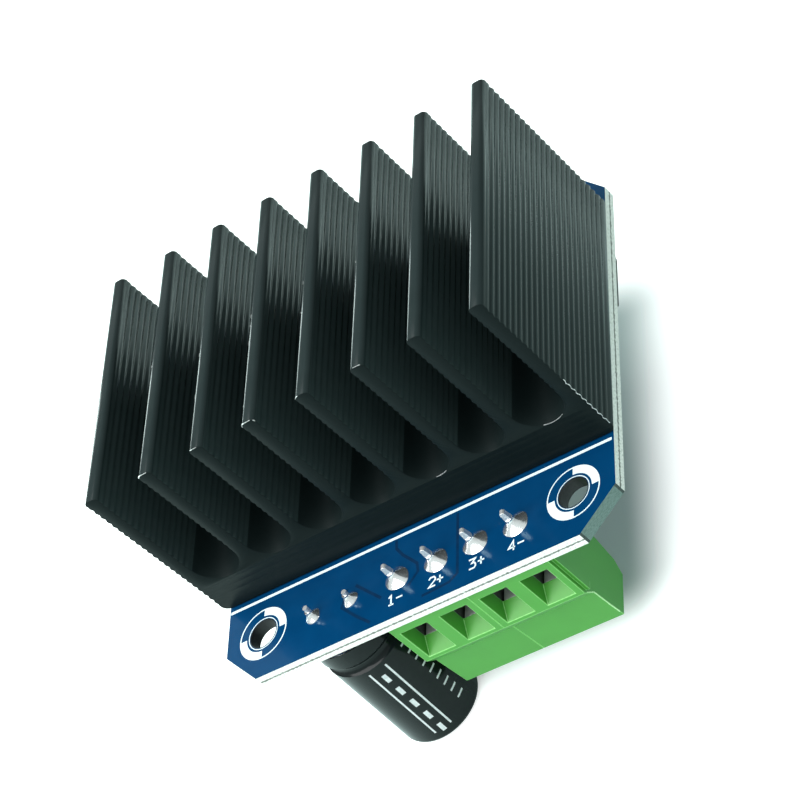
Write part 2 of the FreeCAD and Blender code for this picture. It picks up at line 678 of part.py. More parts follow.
# Capacitor: an aluminium can, leaning a little, in a shrunk sleeve

def lean(item, place="Placement"):
    """Stand a piece or sketch that is drawn about the capacitor's axis at its place, leaning with it."""
    heading = math.radians(number(size("capacitor_lean_heading")))
    axis = FreeCAD.Vector(math.sin(heading), -math.cos(heading), 0)
    turn = FreeCAD.Rotation(axis, number(size("capacitor_lean")))
    setattr(item, place, FreeCAD.Placement(FreeCAD.Vector(), turn))
    item.setExpression(f"{place}.Rotation.Angle", size("capacitor_lean"))
    item.setExpression(f"{place}.Base.x", CAPACITOR_X)
    item.setExpression(f"{place}.Base.y", PIN_ROW)
    item.setExpression(f"{place}.Base.z", BOARD_UNDER)


CAN_RADIUS = "(sizes.capacitor_radius - sizes.sleeve_thickness)"
BUNG_RADIUS = f"({CAN_RADIUS} - sizes.groove_depth - sizes.can_wall)"
CAN_START = "(-sizes.capacitor_standoff)"
CAN_END = "(-sizes.capacitor_standoff - sizes.capacitor_length + sizes.sleeve_thickness)"


def can_side():
    """The can's side from its mouth to its end, with a crimp groove and a bevelled edge."""
    middle, waist = f"({CAN_START} - sizes.groove_height)", f"({CAN_RADIUS} - sizes.groove_depth)"
    return [(CAN_RADIUS, CAN_START), (CAN_RADIUS, f"{middle} + sizes.groove_reach"),
            (waist, f"{middle} + sizes.groove_reach / 2"), (waist, f"{middle} - sizes.groove_reach / 2"),
            (CAN_RADIUS, f"{middle} - sizes.groove_reach"), (CAN_RADIUS, f"{CAN_END} + sizes.can_edge_cut"),
            (f"{CAN_RADIUS} - sizes.can_edge_cut", CAN_END)]


def sleeve_side():
    """The sleeve's outer side round that of the can, and its arcs: the groove and the end are rounded."""
    middle, end = f"({CAN_START} - sizes.groove_height)", f"({CAN_END} - sizes.sleeve_thickness)"
    edge = "(sizes.can_edge_cut + sizes.sleeve_thickness)"
    points = [("sizes.capacitor_radius", CAN_START), ("sizes.capacitor_radius", f"{middle} + sizes.groove_reach"),
              ("sizes.capacitor_radius", f"{middle} - sizes.groove_reach"),
              ("sizes.capacitor_radius", f"{end} + {edge}"), (f"sizes.capacitor_radius - {edge}", end)]
    return points, {1: (size("groove_radius"), "left"), 3: (edge, "right")}


def make_capacitor():
    can = new_piece("capacitor_can")
    profile = new_sketch(can, "profile", "XZ_Plane")
    roof = f"({CAN_START} - sizes.bung_height)"
    draw(profile, [(BUNG_RADIUS, roof), (BUNG_RADIUS, CAN_START)] + can_side()
         + [("0", CAN_END), ("0", roof)])
    revolve(can, profile, "spinning")
    vent = new_sketch(can, "vent", "XY_Plane", ("0", "0", CAN_END))
    long, thin = "sizes.vent_length / 2", "sizes.vent_width / 2"
    draw(vent, [(f"-{thin}", f"-{long}"), (thin, f"-{long}"), (thin, f"-{thin}"), (long, f"-{thin}"),
                (long, thin), (thin, thin), (thin, long), (f"-{thin}", long), (f"-{thin}", thin),
                (f"-{long}", thin), (f"-{long}", f"-{thin}"), (f"-{thin}", f"-{thin}")])
    pocket(can, vent, "vent_cut", size("vent_depth"), Reversed=True)
    lean(can)

    bung = new_piece("capacitor_bung")
    disc = new_sketch(bung, "disc", "XY_Plane", ("0", "0", CAN_START))
    draw_circle(disc, "0", "0", BUNG_RADIUS)
    pad(bung, disc, "plug", size("bung_height"), Reversed=True)
    lean(bung)

    sleeve = new_piece("capacitor_sleeve")
    profile = new_sketch(sleeve, "profile", "XZ_Plane")
    outer, arcs = sleeve_side()
    inside_end = f"({CAN_RADIUS} - sizes.can_edge_cut - sizes.sleeve_end_overlap)"
    draw(profile, outer + [(inside_end, f"{CAN_END} - sizes.sleeve_thickness"), (inside_end, CAN_END)]
         + can_side()[::-1], arcs)
    revolve(sleeve, profile, "shrinking")
    lean(sleeve)

    leads = new_piece("capacitor_leads")
    ends = new_sketch(leads, "ends", "XY_Plane", ("0", "0", CAN_START))
    for side in (-1, 1):
        draw_circle(ends, f"{side} * sizes.lead_pitch / 2", "0", size("lead_radius"))
    pad(leads, ends, "wires", "sizes.capacitor_standoff + sizes.board_thickness + sizes.lead_rise")
    lean(leads)


# Control header

def make_header():
    base = new_piece("header_base")
    outline = new_sketch(base, "outline", "XY_Plane", ("0", "0", BOARD_UNDER))
    columns = int(number(size("header_columns")))
    cut, pitch, row = "sizes.header_cell_cut", "sizes.header_pitch", HEADER_ROW
    front_side, back_side = [], []
    for column in range(columns):
        left = f"({column} - sizes.header_columns / 2) * {pitch}"
        right = f"({column + 1} - sizes.header_columns / 2) * {pitch}"
        for points, edge, way in ((front_side, f"({row} - {pitch})", "+"), (back_side, f"({row} + {pitch})", "-")):
            points.append((left, f"{edge} {way} {cut}"))
            points.append((f"{left} + {cut}", edge))
            points.append((f"{right} - {cut}", edge))
    end = f"sizes.header_columns / 2 * {pitch}"
    front_side.append((end, f"({row} - {pitch}) + {cut}"))
    back_side.append((end, f"({row} + {pitch}) - {cut}"))
    draw(outline, front_side + back_side[::-1])
    pad(base, outline, "moulding", size("header_base_height"), Reversed=True)
    sockets = new_sketch(base, "sockets", "XY_Plane", ("0", "0", BOARD_UNDER))
    pins = new_piece("header_pins")
    posts = new_sketch(pins, "posts", "XY_Plane", ("0", "0", size("header_pin_rise")))
    half = "sizes.header_pin_width / 2"
    for x, y in header_places():
        for sketch in (sockets, posts):
            draw_box(sketch, f"{x} - {half}", f"{x} + {half}", f"{y} - {half}", f"{y} + {half}")
    pocket(base, sockets, "socket_cut")
    pad(pins, posts, "drawing", "sizes.header_pin_rise + sizes.board_thickness + sizes.header_base_height"
        " + sizes.header_pin_reach", Reversed=True)


# Solder fillets on the board's solder face

def make_solder(name, places, neck, spread, height, curve=None):
    """Cones of solder, with a concave side where curve is given."""
    solder = new_piece(name)
    for index, (x, y) in enumerate(places):
        profile = new_sketch(solder, f"profile_{index}", "XZ_Plane", (x, "0", f"-({y})"))
        draw(profile, [("0", "0"), (f"{neck} + {spread}", "0"), (neck, height), ("0", height)],
             {1: (curve, "right")} if curve else None)
        revolve(solder, profile, f"fillet_{index}")
    return solder


def make_all_solder():
    terminal = make_solder("terminal_solder", [(pole(index), PIN_ROW) for index in range(POLES)],
                           "(sizes.pin_width / 2 + sizes.solder_wall)", size("solder_spread"),
                           size("solder_height"), size("solder_curve"))
    holes = new_sketch(terminal, "holes", "XY_Plane")
    for index in range(POLES):
        draw_box(holes, f"{pole(index)} - sizes.pin_width / 2", f"{pole(index)} + sizes.pin_width / 2",
                 f"{PIN_ROW} - sizes.pin_depth / 2", f"{PIN_ROW} + sizes.pin_depth / 2")
    pocket(terminal, holes, "hole_cut")

    capacitor = make_solder("capacitor_solder", [(x, PIN_ROW) for x in capacitor_leads()],
                            "(sizes.lead_radius + sizes.lead_solder_wall)", size("lead_solder_spread"),
                            size("lead_solder_height"), size("lead_solder_curve"))
    holes = new_sketch(capacitor, "holes", "XY_Plane")
    lean(holes, "AttachmentOffset")
    for side in (-1, 1):
        draw_circle(holes, f"{side} * sizes.lead_pitch / 2", "0", size("lead_radius"))
    pocket(capacitor, holes, "hole_cut")

    header = make_solder("header_solder", header_places(), "(sizes.header_pin_width / 2 + sizes.solder_wall)",
                         size("header_solder_spread"), size("header_solder_height"))
    holes = new_sketch(header, "holes", "XY_Plane")
    half = "sizes.header_pin_width / 2"
    for x, y in header_places():
        draw_box(holes, f"{x} - {half}", f"{x} + {half}", f"{y} - {half}", f"{y} + {half}")
    pocket(header, holes, "hole_cut")


# Chips

def gull_lead(piece, name, plane_offset, start, way, level, thickness, shoulder, drop, reach, width):
    """One bent lead, from the chip's side out and down to the board, drawn in the YZ plane."""
    sketch = new_sketch(piece, name, "YZ_Plane", ("0", "0", plane_offset))
    high, low = f"({BOARD_UNDER} - {level} - {thickness})", f"({BOARD_UNDER} - {level})"
    foot = f"({BOARD_UNDER} - {thickness})"

    def out(distance):
        return f"{start} {way} ({distance})"

    draw(sketch, [(out("0"), high), (out("0"), low), (out(shoulder), low), (out(f"{shoulder} + {drop}"), BOARD_UNDER),
                  (out(reach), BOARD_UNDER), (out(reach), foot), (out(f"{shoulder} + {drop} + {thickness}"), foot),
                  (out(f"{shoulder} + {thickness}"), high)])
    return pad(piece, sketch, f"{name}_bend", width)


def make_bridge_chip(side_name, side):
    """A power chip: a moulded body on a copper tab, with seven leads, the middle one cut short."""
    chip = new_piece(f"{side_name}_bridge_chip")
    centre = f"({side} * (sizes.board_width / 2 - sizes.bridge_inset_x))"
    left = f"({centre} - sizes.bridge_width / 2)"
    back = f"({BACK_EDGE} - sizes.bridge_inset_y)"
    front = f"({back} - sizes.bridge_length)"
    under, top = below("bridge_standoff"), below("bridge_height")
    cut, drop = "sizes.bridge_edge_cut", "sizes.bridge_edge_drop"
    outline = new_sketch(chip, "outline", "YZ_Plane", ("0", "0", left))
    draw(outline, [(front, under), (back, under), (back, f"{top} + {drop}"), (f"{back} - {cut}", top),
                   (f"{front} + {cut}", top), (front, f"{top} + {drop}")])
    pad(chip, outline, "moulding", size("bridge_width"))
    recess = new_sketch(chip, "recess", "XY_Plane", ("0", "0", BOARD_UNDER))
    half, inset = "sizes.tab_width / 2", f"({front} + sizes.tab_inset)"
    draw_box(recess, f"{centre} - {half}", f"{centre} + {half}", inset, back)
    pocket(chip, recess, "tab_seat", size("tab_thickness"))

    frame = new_piece(f"{side_name}_bridge_leads")
    tab = new_sketch(frame, "tab", "XY_Plane", ("0", "0", BOARD_UNDER))
    end, corner = f"({back} + sizes.tab_reach)", "sizes.tab_corner_cut"
    draw(tab, [(f"{centre} - {half}", inset), (f"{centre} + {half}", inset), (f"{centre} + {half}", back),
               (f"{centre} + {half} - {corner}", end), (f"{centre} - {half} + {corner}", end),
               (f"{centre} - {half}", back)])
    pad(frame, tab, "tab_sheet", size("tab_thickness"), Reversed=True)
    width = "sizes.bridge_lead_width"
    lead = gull_lead(frame, "lead", f"{centre} - 3 * sizes.bridge_lead_pitch - {width} / 2", front, "-",
                     size("bridge_lead_level"), size("bridge_lead_thickness"), size("bridge_lead_shoulder"),
                     size("bridge_lead_drop"), size("bridge_lead_reach"), width)
    pattern(frame, [lead], "lead_row", "X_Axis", size("bridge_lead_pitch"), "7")
    stub = new_sketch(frame, "stub", "XY_Plane")
    draw_box(stub, f"{centre} - sizes.bridge_lead_pitch / 2", f"{centre} + sizes.bridge_lead_pitch / 2",
             f"{front} - sizes.bridge_lead_reach - 1", f"{front} - sizes.bridge_stub")
    pocket(frame, stub, "stub_cut")


def make_logic_chip():
    chip = new_piece("logic_chip")
    left = "(-sizes.logic_length / 2)"
    front, back = f"({CHIP_ROW} - sizes.logic_width / 2)", f"({CHIP_ROW} + sizes.logic_width / 2)"
    under, top = below("logic_standoff"), below("logic_height")
    cut, drop = "sizes.logic_edge_cut", "sizes.logic_edge_drop"
    outline = new_sketch(chip, "outline", "YZ_Plane", ("0", "0", left))
    draw(outline, [(front, under), (back, under), (back, f"{top} + {drop}"), (f"{back} - {cut}", top),
                   (f"{front} + {cut}", top), (front, f"{top} + {drop}")])
    pad(chip, outline, "moulding", size("logic_length"))
    leads = new_piece("logic_chip_leads")
    width = "sizes.logic_lead_width"
    row = f"-(sizes.logic_lead_count - 1) / 2 * sizes.logic_lead_pitch - {width} / 2"
    ends = [gull_lead(leads, name, row, start, way, size("logic_lead_level"), size("logic_lead_thickness"),
                      size("logic_lead_shoulder"), size("logic_lead_drop"), size("logic_lead_reach"), width)
            for name, start, way in (("front_lead", front, "-"), ("back_lead", back, "+"))]
    pattern(leads, ends, "lead_rows", "X_Axis", size("logic_lead_pitch"), size("logic_lead_count"))


def make_small_parts():
    resistors = new_piece("chip_resistors")
    sketch = new_sketch(resistors, "bodies", "XY_Plane", ("0", "0", BOARD_UNDER))
    for side in (-1, 1):
        for step in range(5):
            x = (f"({side} * (sizes.logic_length + sizes.board_width - 2 * sizes.bridge_inset_x"
                 " - sizes.bridge_width) / 4)")
            y = f"({CHIP_ROW} + {step - 2} * sizes.small_part_pitch)"
            draw_box(sketch, f"{x} - sizes.resistor_width / 2", f"{x} + sizes.resistor_width / 2",
                     f"{y} - sizes.resistor_length / 2", f"{y} + sizes.resistor_length / 2")
    pad(resistors, sketch, "stack", size("resistor_height"), Reversed=True)
    capacitors = new_piece("chip_capacitors")
    sketch = new_sketch(capacitors, "bodies", "XY_Plane", ("0", "0", BOARD_UNDER))
    for side in (-1, 1):
        for step in range(2):
            x = (f"({side} * (sizes.board_width / 2 - sizes.bridge_inset_x - sizes.small_capacitor_inset"
                 f" + {step} * sizes.small_part_pitch))")
            y = SCREW_ROWS["front"]
            draw_box(sketch, f"{x} - sizes.resistor_width / 2", f"{x} + sizes.resistor_width / 2",
                     f"{y} - sizes.resistor_length / 2", f"{y} + sizes.resistor_length / 2")
    pad(capacitors, sketch, "stack", size("small_capacitor_height"), Reversed=True)


make_board()
make_thermal_pad()
make_heatsink()
make_sink_screw("front")
make_sink_screw("back")
make_housing("left_terminal_housing", 0)
make_housing("right_terminal_housing", 2)
for pole_index in range(POLES):
    make_contact(pole_index)
    make_wire_clamp(pole_index)
    make_clamp_screw(pole_index)
make_capacitor()
make_header()
make_all_solder()
make_bridge_chip("left", -1)
make_bridge_chip("right", 1)
make_logic_chip()
make_small_parts()
doc.recompute()

for item in doc.Objects:
    if "Invalid" in item.State or "Error" in item.State:
        raise RuntimeError(f"{item.Label} failed: {item.State}")
os.makedirs("parts", exist_ok=True)
for item in doc.Objects:
    if item.TypeId != "PartDesign::Body":
        continue
    if item.Shape.isNull() or not item.Shape.isValid() or not item.Shape.Solids:
        raise RuntimeError(f"{item.Label} has no valid solid")
    item.Shape.exportStep(f"parts/{item.Label}.step")
    print(item.Label, len(item.Shape.Solids), round(item.Shape.Volume, 2))
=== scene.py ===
import math
import random

import bmesh
import bpy
from mathutils import Matrix, Vector


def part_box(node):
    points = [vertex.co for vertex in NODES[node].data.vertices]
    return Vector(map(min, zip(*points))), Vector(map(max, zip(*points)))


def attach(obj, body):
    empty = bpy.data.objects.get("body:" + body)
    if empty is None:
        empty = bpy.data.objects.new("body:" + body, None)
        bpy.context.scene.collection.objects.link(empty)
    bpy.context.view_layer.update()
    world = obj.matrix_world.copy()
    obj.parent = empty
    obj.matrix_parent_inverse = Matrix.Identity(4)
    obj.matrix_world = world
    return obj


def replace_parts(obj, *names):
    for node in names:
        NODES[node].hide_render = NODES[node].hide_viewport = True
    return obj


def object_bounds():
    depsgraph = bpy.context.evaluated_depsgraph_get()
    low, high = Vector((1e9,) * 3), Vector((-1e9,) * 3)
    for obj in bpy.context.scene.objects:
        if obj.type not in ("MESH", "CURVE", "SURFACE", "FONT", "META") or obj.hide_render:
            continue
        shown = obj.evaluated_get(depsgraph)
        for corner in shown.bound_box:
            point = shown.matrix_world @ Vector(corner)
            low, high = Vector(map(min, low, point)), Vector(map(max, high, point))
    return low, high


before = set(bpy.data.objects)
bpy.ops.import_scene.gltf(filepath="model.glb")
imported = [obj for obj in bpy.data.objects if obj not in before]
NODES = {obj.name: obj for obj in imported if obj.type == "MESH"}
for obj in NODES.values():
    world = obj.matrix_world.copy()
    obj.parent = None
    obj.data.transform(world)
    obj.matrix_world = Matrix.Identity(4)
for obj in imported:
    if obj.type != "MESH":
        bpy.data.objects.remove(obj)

# DC motor driver module, seen from its solder side. Sizes and places are in millimetres in the CAD
# frame: z = 0 is the board's solder face, -Y the terminal edge and +Z the way of the fins.

CAD_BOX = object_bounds()
MM = 0.001
SAME_POINT = 0.001


def box_mm(node):
    """The lowest and the highest corner of a CAD node, in millimetres."""
    return [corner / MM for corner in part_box(node)]


BOARD_LOW = box_mm("circuit_board")[0]
SINK_LOW, SINK_HIGH = box_mm("heatsink")
HOUSING_HIGH = box_mm("right_terminal_housing")[1]

# Heatsink profile
FINS = 8
FIN_PITCH = 6.904
OUTER_FIN_SHIFT = 0.527
FIN_THICKNESS = 1.7
FIN_TIP_RADIUS = 0.55
CHANNEL_FLOOR = 4.65
SINK_CORNER_RADIUS = 0.95
TIP_STEPS, CHANNEL_STEPS, CORNER_STEPS = 6, 28, 8
RIDGE_PITCH = 0.9
RIDGE_DEPTH = 0.15
INNER_RIDGE_DEPTH = 0.12
RIDGE_ROUNDING = 1.6
RIDGE_STEPS = 10
SAW_EDGE = 0.03

# Places on the board
HOLE_X, HOLE_Y, HOLE_RADIUS = 20.0, 19.4, 1.8
HOLES = [(side_x * HOLE_X, side_y * HOLE_Y) for side_x in (-1, 1) for side_y in (-1, 1)]
PIN_ROW = -20.16
POLES = (-2.0, 3.0, 8.0, 13.0)
CAPACITOR_X, LEAD_PITCH = -10.6, 5.0
HEADER_PITCH, HEADER_ROW, HEADER_COLUMNS = 2.54, 21.4, 4
CORNER_CUT = 4.4
PRINT_HEIGHT = 0.02


# Materials

def new_material(name):
    """An empty node material and its node tree."""
    material = bpy.data.materials.new(name)
    material.use_nodes = True
    material.node_tree.nodes.clear()
    return material, material.node_tree


def add_node(tree, kind, **settings):
    """A new node with its settings, such as its operation."""
    node = tree.nodes.new(kind)
    for key, setting in settings.items():
        setattr(node, key, setting)
    return node


def principled(tree, **sockets):
    """The surface shader with its constant sockets set, linked to the output."""
    shader = add_node(tree, "ShaderNodeBsdfPrincipled")
    output = add_node(tree, "ShaderNodeOutputMaterial")
    tree.links.new(shader.outputs[0], output.inputs[0])
    for key, value in sockets.items():
        shader.inputs[key.replace("_", " ")].default_value = value
    return shader


def object_place(tree):
    """The surface point in the object's own frame, in millimetres."""
    place = add_node(tree, "ShaderNodeTexCoord")
    scaled = add_node(tree, "ShaderNodeVectorMath", operation="SCALE")
    scaled.inputs["Scale"].default_value = 1 / MM
    tree.links.new(place.outputs["Object"], scaled.inputs[0])
    return scaled.outputs[0]


def split(tree, vector):
    """The three parts of a vector."""
    parts = add_node(tree, "ShaderNodeSeparateXYZ")
    tree.links.new(vector, parts.inputs[0])
    return parts.outputs


def reckon(tree, operation, *values):
    """A math node whose inputs are sockets or numbers."""
    node = add_node(tree, "ShaderNodeMath", operation=operation)
    for socket, value in zip(node.inputs, values):
        if isinstance(value, (int, float)):
            socket.default_value = value
        else:
            tree.links.new(value, socket)
    return node.outputs[0]


def noise(tree, place, scale, detail=3.0, roughness=0.55, stretch=None):
    """Noise between 0 and 1 with a grain of 1 / scale millimetres, stretched along the axes if asked."""
    if stretch:
        stretched = add_node(tree, "ShaderNodeVectorMath", operation="MULTIPLY")
        stretched.inputs[1].default_value = stretch
        tree.links.new(place, stretched.inputs[0])
        place = stretched.outputs[0]
    grain = add_node(tree, "ShaderNodeTexNoise")
    grain.inputs["Scale"].default_value = scale
    grain.inputs["Detail"].default_value = detail
    grain.inputs["Roughness"].default_value = roughness
    tree.links.new(place, grain.inputs["Vector"])
    return grain.outputs["Fac"]


def ramp(tree, factor, *stops):
    """A colour ramp through (place, colour) stops."""
    band = add_node(tree, "ShaderNodeValToRGB")
    while len(band.color_ramp.elements) < len(stops):
        band.color_ramp.elements.new(0.5)
    for element, (place, colour) in zip(band.color_ramp.elements, stops):
        element.position = place
        element.color = (*colour, 1.0)
    tree.links.new(factor, band.inputs[0])
    return band.outputs[0]


def blend_colours(tree, factor, first, second):
    """The first colour where the factor is 0, the second where it is 1; both are sockets."""
    mix = add_node(tree, "ShaderNodeMix", data_type="RGBA")
    tree.links.new(factor, mix.inputs["Factor"])
    tree.links.new(first, mix.inputs[6])
    tree.links.new(second, mix.inputs[7])
    return mix.outputs[2]


def bump(tree, shader, height, strength, distance):
    """Bump the shader by a height between 0 and 1, distance in millimetres."""
    relief = add_node(tree, "ShaderNodeBump")
    relief.inputs["Strength"].default_value = strength
    relief.inputs["Distance"].default_value = distance * MM
    tree.links.new(height, relief.inputs["Height"])
    tree.links.new(relief.outputs[0], shader.inputs["Normal"])


def spread(tree, factor, low, high):
    """Map a factor between 0 and 1 onto low to high."""
    mapped = add_node(tree, "ShaderNodeMapRange")
    mapped.inputs["To Min"].default_value = low
    mapped.inputs["To Max"].default_value = high
    tree.links.new(factor, mapped.inputs["Value"])
    return mapped.outputs[0]


CLOUD_LOW, CLOUD_HIGH = 0.3, 0.7
ROUGHNESS_VARIES = 0.15
RELIEF_STRENGTH = 0.6
SUBSURFACE_DEPTH = 0.5


def plain_finish(name, dark, light, rough, metallic=0.0, grain=1.2, relief=0.0, relief_grain=12.0,
                 subsurface=0.0, gloss=0.5):
    """A finish whose colour and roughness vary a little over the surface."""
    material, tree = new_material(name)
    shader = principled(tree, Metallic=metallic, Specular_IOR_Level=gloss, Subsurface_Weight=subsurface,
                        Subsurface_Scale=SUBSURFACE_DEPTH * MM)
    place = object_place(tree)
    cloud = noise(tree, place, grain)
    tree.links.new(ramp(tree, cloud, (CLOUD_LOW, dark), (CLOUD_HIGH, light)), shader.inputs["Base Color"])
    tree.links.new(spread(tree, cloud, rough * (1 - ROUGHNESS_VARIES), rough * (1 + ROUGHNESS_VARIES)),
                   shader.inputs["Roughness"])
    if relief:
        bump(tree, shader, noise(tree, place, relief_grain), RELIEF_STRENGTH, relief)
    return material


# The board's cut edges: the depth of their dark middle line under the solder face, how far it wanders, how
# much of it is broken away, and the length of the saw's dark marks at the ends of the cut corners. A face has
# a normal with more than FACE_NORMAL in z, a cut corner one with more than CORNER_NORMAL in x times y.
MIDDLE_LINE_DEPTH, MIDDLE_LINE_WANDER, MIDDLE_LINE_BREAK = 0.86, 0.55, 0.17
SAW_MARK_LENGTH = 0.42
FACE_NORMAL, CORNER_NORMAL = 0.7, 0.2
MASK_GLOSS, MASK_ROUGHNESS, LAMINATE_ROUGHNESS = 0.32, 0.14, 0.75
MASK_TINT = (0.45, 0.9, 1.0, 1.0)
MASK_RELIEF = 0.010


def board_edge_colour(tree, place, normal):
    """Pale glass laminate with a broken dark middle line, and greyer sawn corners with dark ends."""
    across, along, up = split(tree, place)
    weave = noise(tree, place, 4.0, detail=5.0, roughness=0.65, stretch=(0.8, 0.8, 2.5))
    laminate = ramp(tree, weave, (0.33, (0.42, 0.48, 0.42)), (0.50, (0.90, 0.94, 0.89)))
    resin = ramp(tree, weave, (0.30, (0.05, 0.06, 0.05)), (0.62, (0.26, 0.28, 0.25)))
    off_line = reckon(tree, "ABSOLUTE", reckon(tree, "ADD", up, MIDDLE_LINE_DEPTH))
    waver = noise(tree, place, 2.6, detail=5.0, roughness=0.7, stretch=(1, 1, 0.5))
    reach = reckon(tree, "SUBTRACT", reckon(tree, "MULTIPLY", waver, MIDDLE_LINE_WANDER), MIDDLE_LINE_BREAK)
    edge = blend_colours(tree, reckon(tree, "LESS_THAN", off_line, reach), laminate, resin)
    slant = reckon(tree, "ABSOLUTE", reckon(tree, "MULTIPLY", normal[0], normal[1]))
    sums = [reckon(tree, "ABSOLUTE", reckon(tree, kind, across, along)) for kind in ("ADD", "SUBTRACT")]
    marked = reckon(tree, "GREATER_THAN", reckon(tree, "MINIMUM", *sums), CORNER_CUT - SAW_MARK_LENGTH)
    sawn = ramp(tree, weave, (0.3, (0.09, 0.15, 0.13)), (0.6, (0.20, 0.29, 0.265)))
    saw_mark = ramp(tree, weave, (0.3, (0.03, 0.05, 0.045)), (0.6, (0.08, 0.10, 0.09)))
    corner = blend_colours(tree, marked, sawn, saw_mark)
    return blend_colours(tree, reckon(tree, "GREATER_THAN", slant, CORNER_NORMAL), edge, corner)


def board_finish():
    """Blue solder mask on the two faces, laminate on the cut edges."""
    material, tree = new_material("blue_board")
    shader = principled(tree, Specular_IOR_Level=MASK_GLOSS, Specular_Tint=MASK_TINT)
    place = object_place(tree)
    geometry = add_node(tree, "ShaderNodeNewGeometry")
    normal = split(tree, geometry.outputs["True Normal"])
    face = reckon(tree, "GREATER_THAN", reckon(tree, "ABSOLUTE", normal[2]), FACE_NORMAL)
    mask = ramp(tree, noise(tree, place, 0.35), (0.3, (0.0005, 0.038, 0.116)), (0.7, (0.0007, 0.045, 0.134)))
    edge = board_edge_colour(tree, place, normal)
    tree.links.new(blend_colours(tree, face, edge, mask), shader.inputs["Base Color"])
    tree.links.new(spread(tree, face, LAMINATE_ROUGHNESS, MASK_ROUGHNESS), shader.inputs["Roughness"])
    bump(tree, shader, noise(tree, place, 0.8), 0.5, MASK_RELIEF)
    return material


# The heatsink's black film on its tips and outer faces, in the channels, on the fins' faces and on the tips'
# left edges, its thinner film where it was sawn to length, and bare aluminium where the saw tore the film.
# In the channels and on the sawn ends the film is darker as painted shade, on the fins' faces lighter as
# painted light.
ANODISED = plain_finish("black_anodised", (0.0125, 0.0218, 0.0220), (0.0140, 0.0240, 0.0242), 0.21, grain=0.4,
                        gloss=0.18)
# Painted shade: the film in the channels is darker than the same film on the tips.
CHANNEL_SHADE = plain_finish("channel_shade_black", (0.0065, 0.0115, 0.0117), (0.0075, 0.0128, 0.0130), 0.40, grain=0.4,
                       gloss=0.06)
# Painted light: the fins' faces inside the channels are lighter than the same film on the tips.
LIT_FIN_SIDE = plain_finish("fin_side_lit_black", (0.022, 0.035, 0.035), (0.025, 0.038, 0.038), 0.24, grain=0.4,
                        gloss=0.16)
TIP_SIDE = plain_finish("tip_side_black", (0.0125, 0.0218, 0.0220), (0.0140, 0.0240, 0.0242), 0.50, grain=0.4,
                        gloss=0.04)
# Painted shade: the sawn ends are darker than the film elsewhere, besides being rougher.
SAWN_SHADED = plain_finish("sawn_shaded_black", (0.0044, 0.0088, 0.0090), (0.0052, 0.0100, 0.0102), 0.45, grain=0.8,
                    gloss=0.08)
TORN_EDGE = plain_finish("torn_edge", (0.55, 0.57, 0.56), (0.92, 0.93, 0.92), 0.32, metallic=0.6, grain=6.0)

GREEN = plain_finish("green_plastic", (0.064, 0.304, 0.038), (0.069, 0.325, 0.042), 0.33, relief=0.003,
                     relief_grain=3.0, grain=0.3, subsurface=0.04, gloss=0.32)
# Painted highlight: a lighter green on the housings' rounded edges.
GREEN_EDGE_HIGHLIGHT = plain_finish("green_edge_highlight", (0.16, 0.52, 0.11), (0.26, 0.66, 0.19), 0.3, grain=3.0)
# Painted highlight: the flash's pale green, far lighter than the housing's own plastic.
GREEN_FLASH_HIGHLIGHT = plain_finish("green_flash_highlight", (0.34, 0.74, 0.26), (0.58, 0.90, 0.48), 0.4, grain=4.0)
TIN = plain_finish("tinned_metal", (0.66, 0.66, 0.64), (0.80, 0.80, 0.78), 0.34, metallic=1.0)
ZINC = plain_finish("zinc_steel", (0.55, 0.56, 0.56), (0.70, 0.71, 0.70), 0.30, metallic=1.0)
SOLDER = plain_finish("bright_solder", (0.90, 0.91, 0.91), (0.99, 0.99, 0.99), 0.15, metallic=0.9, grain=2.5,
                      relief=0.05, relief_grain=2.0)
PIN = plain_finish("pin_tin", (0.90, 0.91, 0.90), (0.98, 0.98, 0.97), 0.30, metallic=0.7, grain=2.5)
SLEEVE = plain_finish("dark_sleeve", (0.0055, 0.0090, 0.0092), (0.0075, 0.0115, 0.0118), 0.15, relief=0.008,
                      relief_grain=0.9, gloss=0.16)
# Painted shade: the wire clamps are the screws' zinc-plated steel, darkened inside the terminal mouths.
SHADED_CAGE = plain_finish("clamp_steel_shaded", (0.16, 0.17, 0.165), (0.26, 0.27, 0.265), 0.40, metallic=1.0)
CAN = plain_finish("can_aluminium", (0.72, 0.72, 0.72), (0.82, 0.82, 0.82), 0.26, metallic=1.0)
BUNG = plain_finish("bung_rubber", (0.02, 0.02, 0.02), (0.03, 0.03, 0.03), 0.7)
BLACK_PLASTIC = plain_finish("black_plastic", (0.012, 0.012, 0.013), (0.018, 0.018, 0.019), 0.42, relief=0.01)
CHIP = plain_finish("chip_epoxy", (0.016, 0.017, 0.018), (0.024, 0.025, 0.026), 0.55, relief=0.015)
GILT = plain_finish("gilt_pin", (0.75, 0.52, 0.18), (0.85, 0.62, 0.24), 0.22, metallic=1.0)
THERMAL = plain_finish("thermal_film", (0.55, 0.55, 0.53), (0.65, 0.65, 0.62), 0.8)
RESISTOR = plain_finish("resistor_glaze", (0.015, 0.015, 0.017), (0.022, 0.022, 0.025), 0.3)
CERAMIC = plain_finish("capacitor_ceramic", (0.42, 0.30, 0.19), (0.50, 0.37, 0.24), 0.45)
SILK = plain_finish("white_print", (0.76, 0.92, 0.95), (0.86, 0.98, 0.99), 0.45, grain=3.0)
SLEEVE_PRINT = plain_finish("sleeve_print", (0.50, 0.56, 0.57), (0.68, 0.73, 0.74), 0.4, grain=2.0)
POUR_LINE = plain_finish("pour_line", (0.0005, 0.020, 0.062), (0.0008, 0.026, 0.080), 0.25)
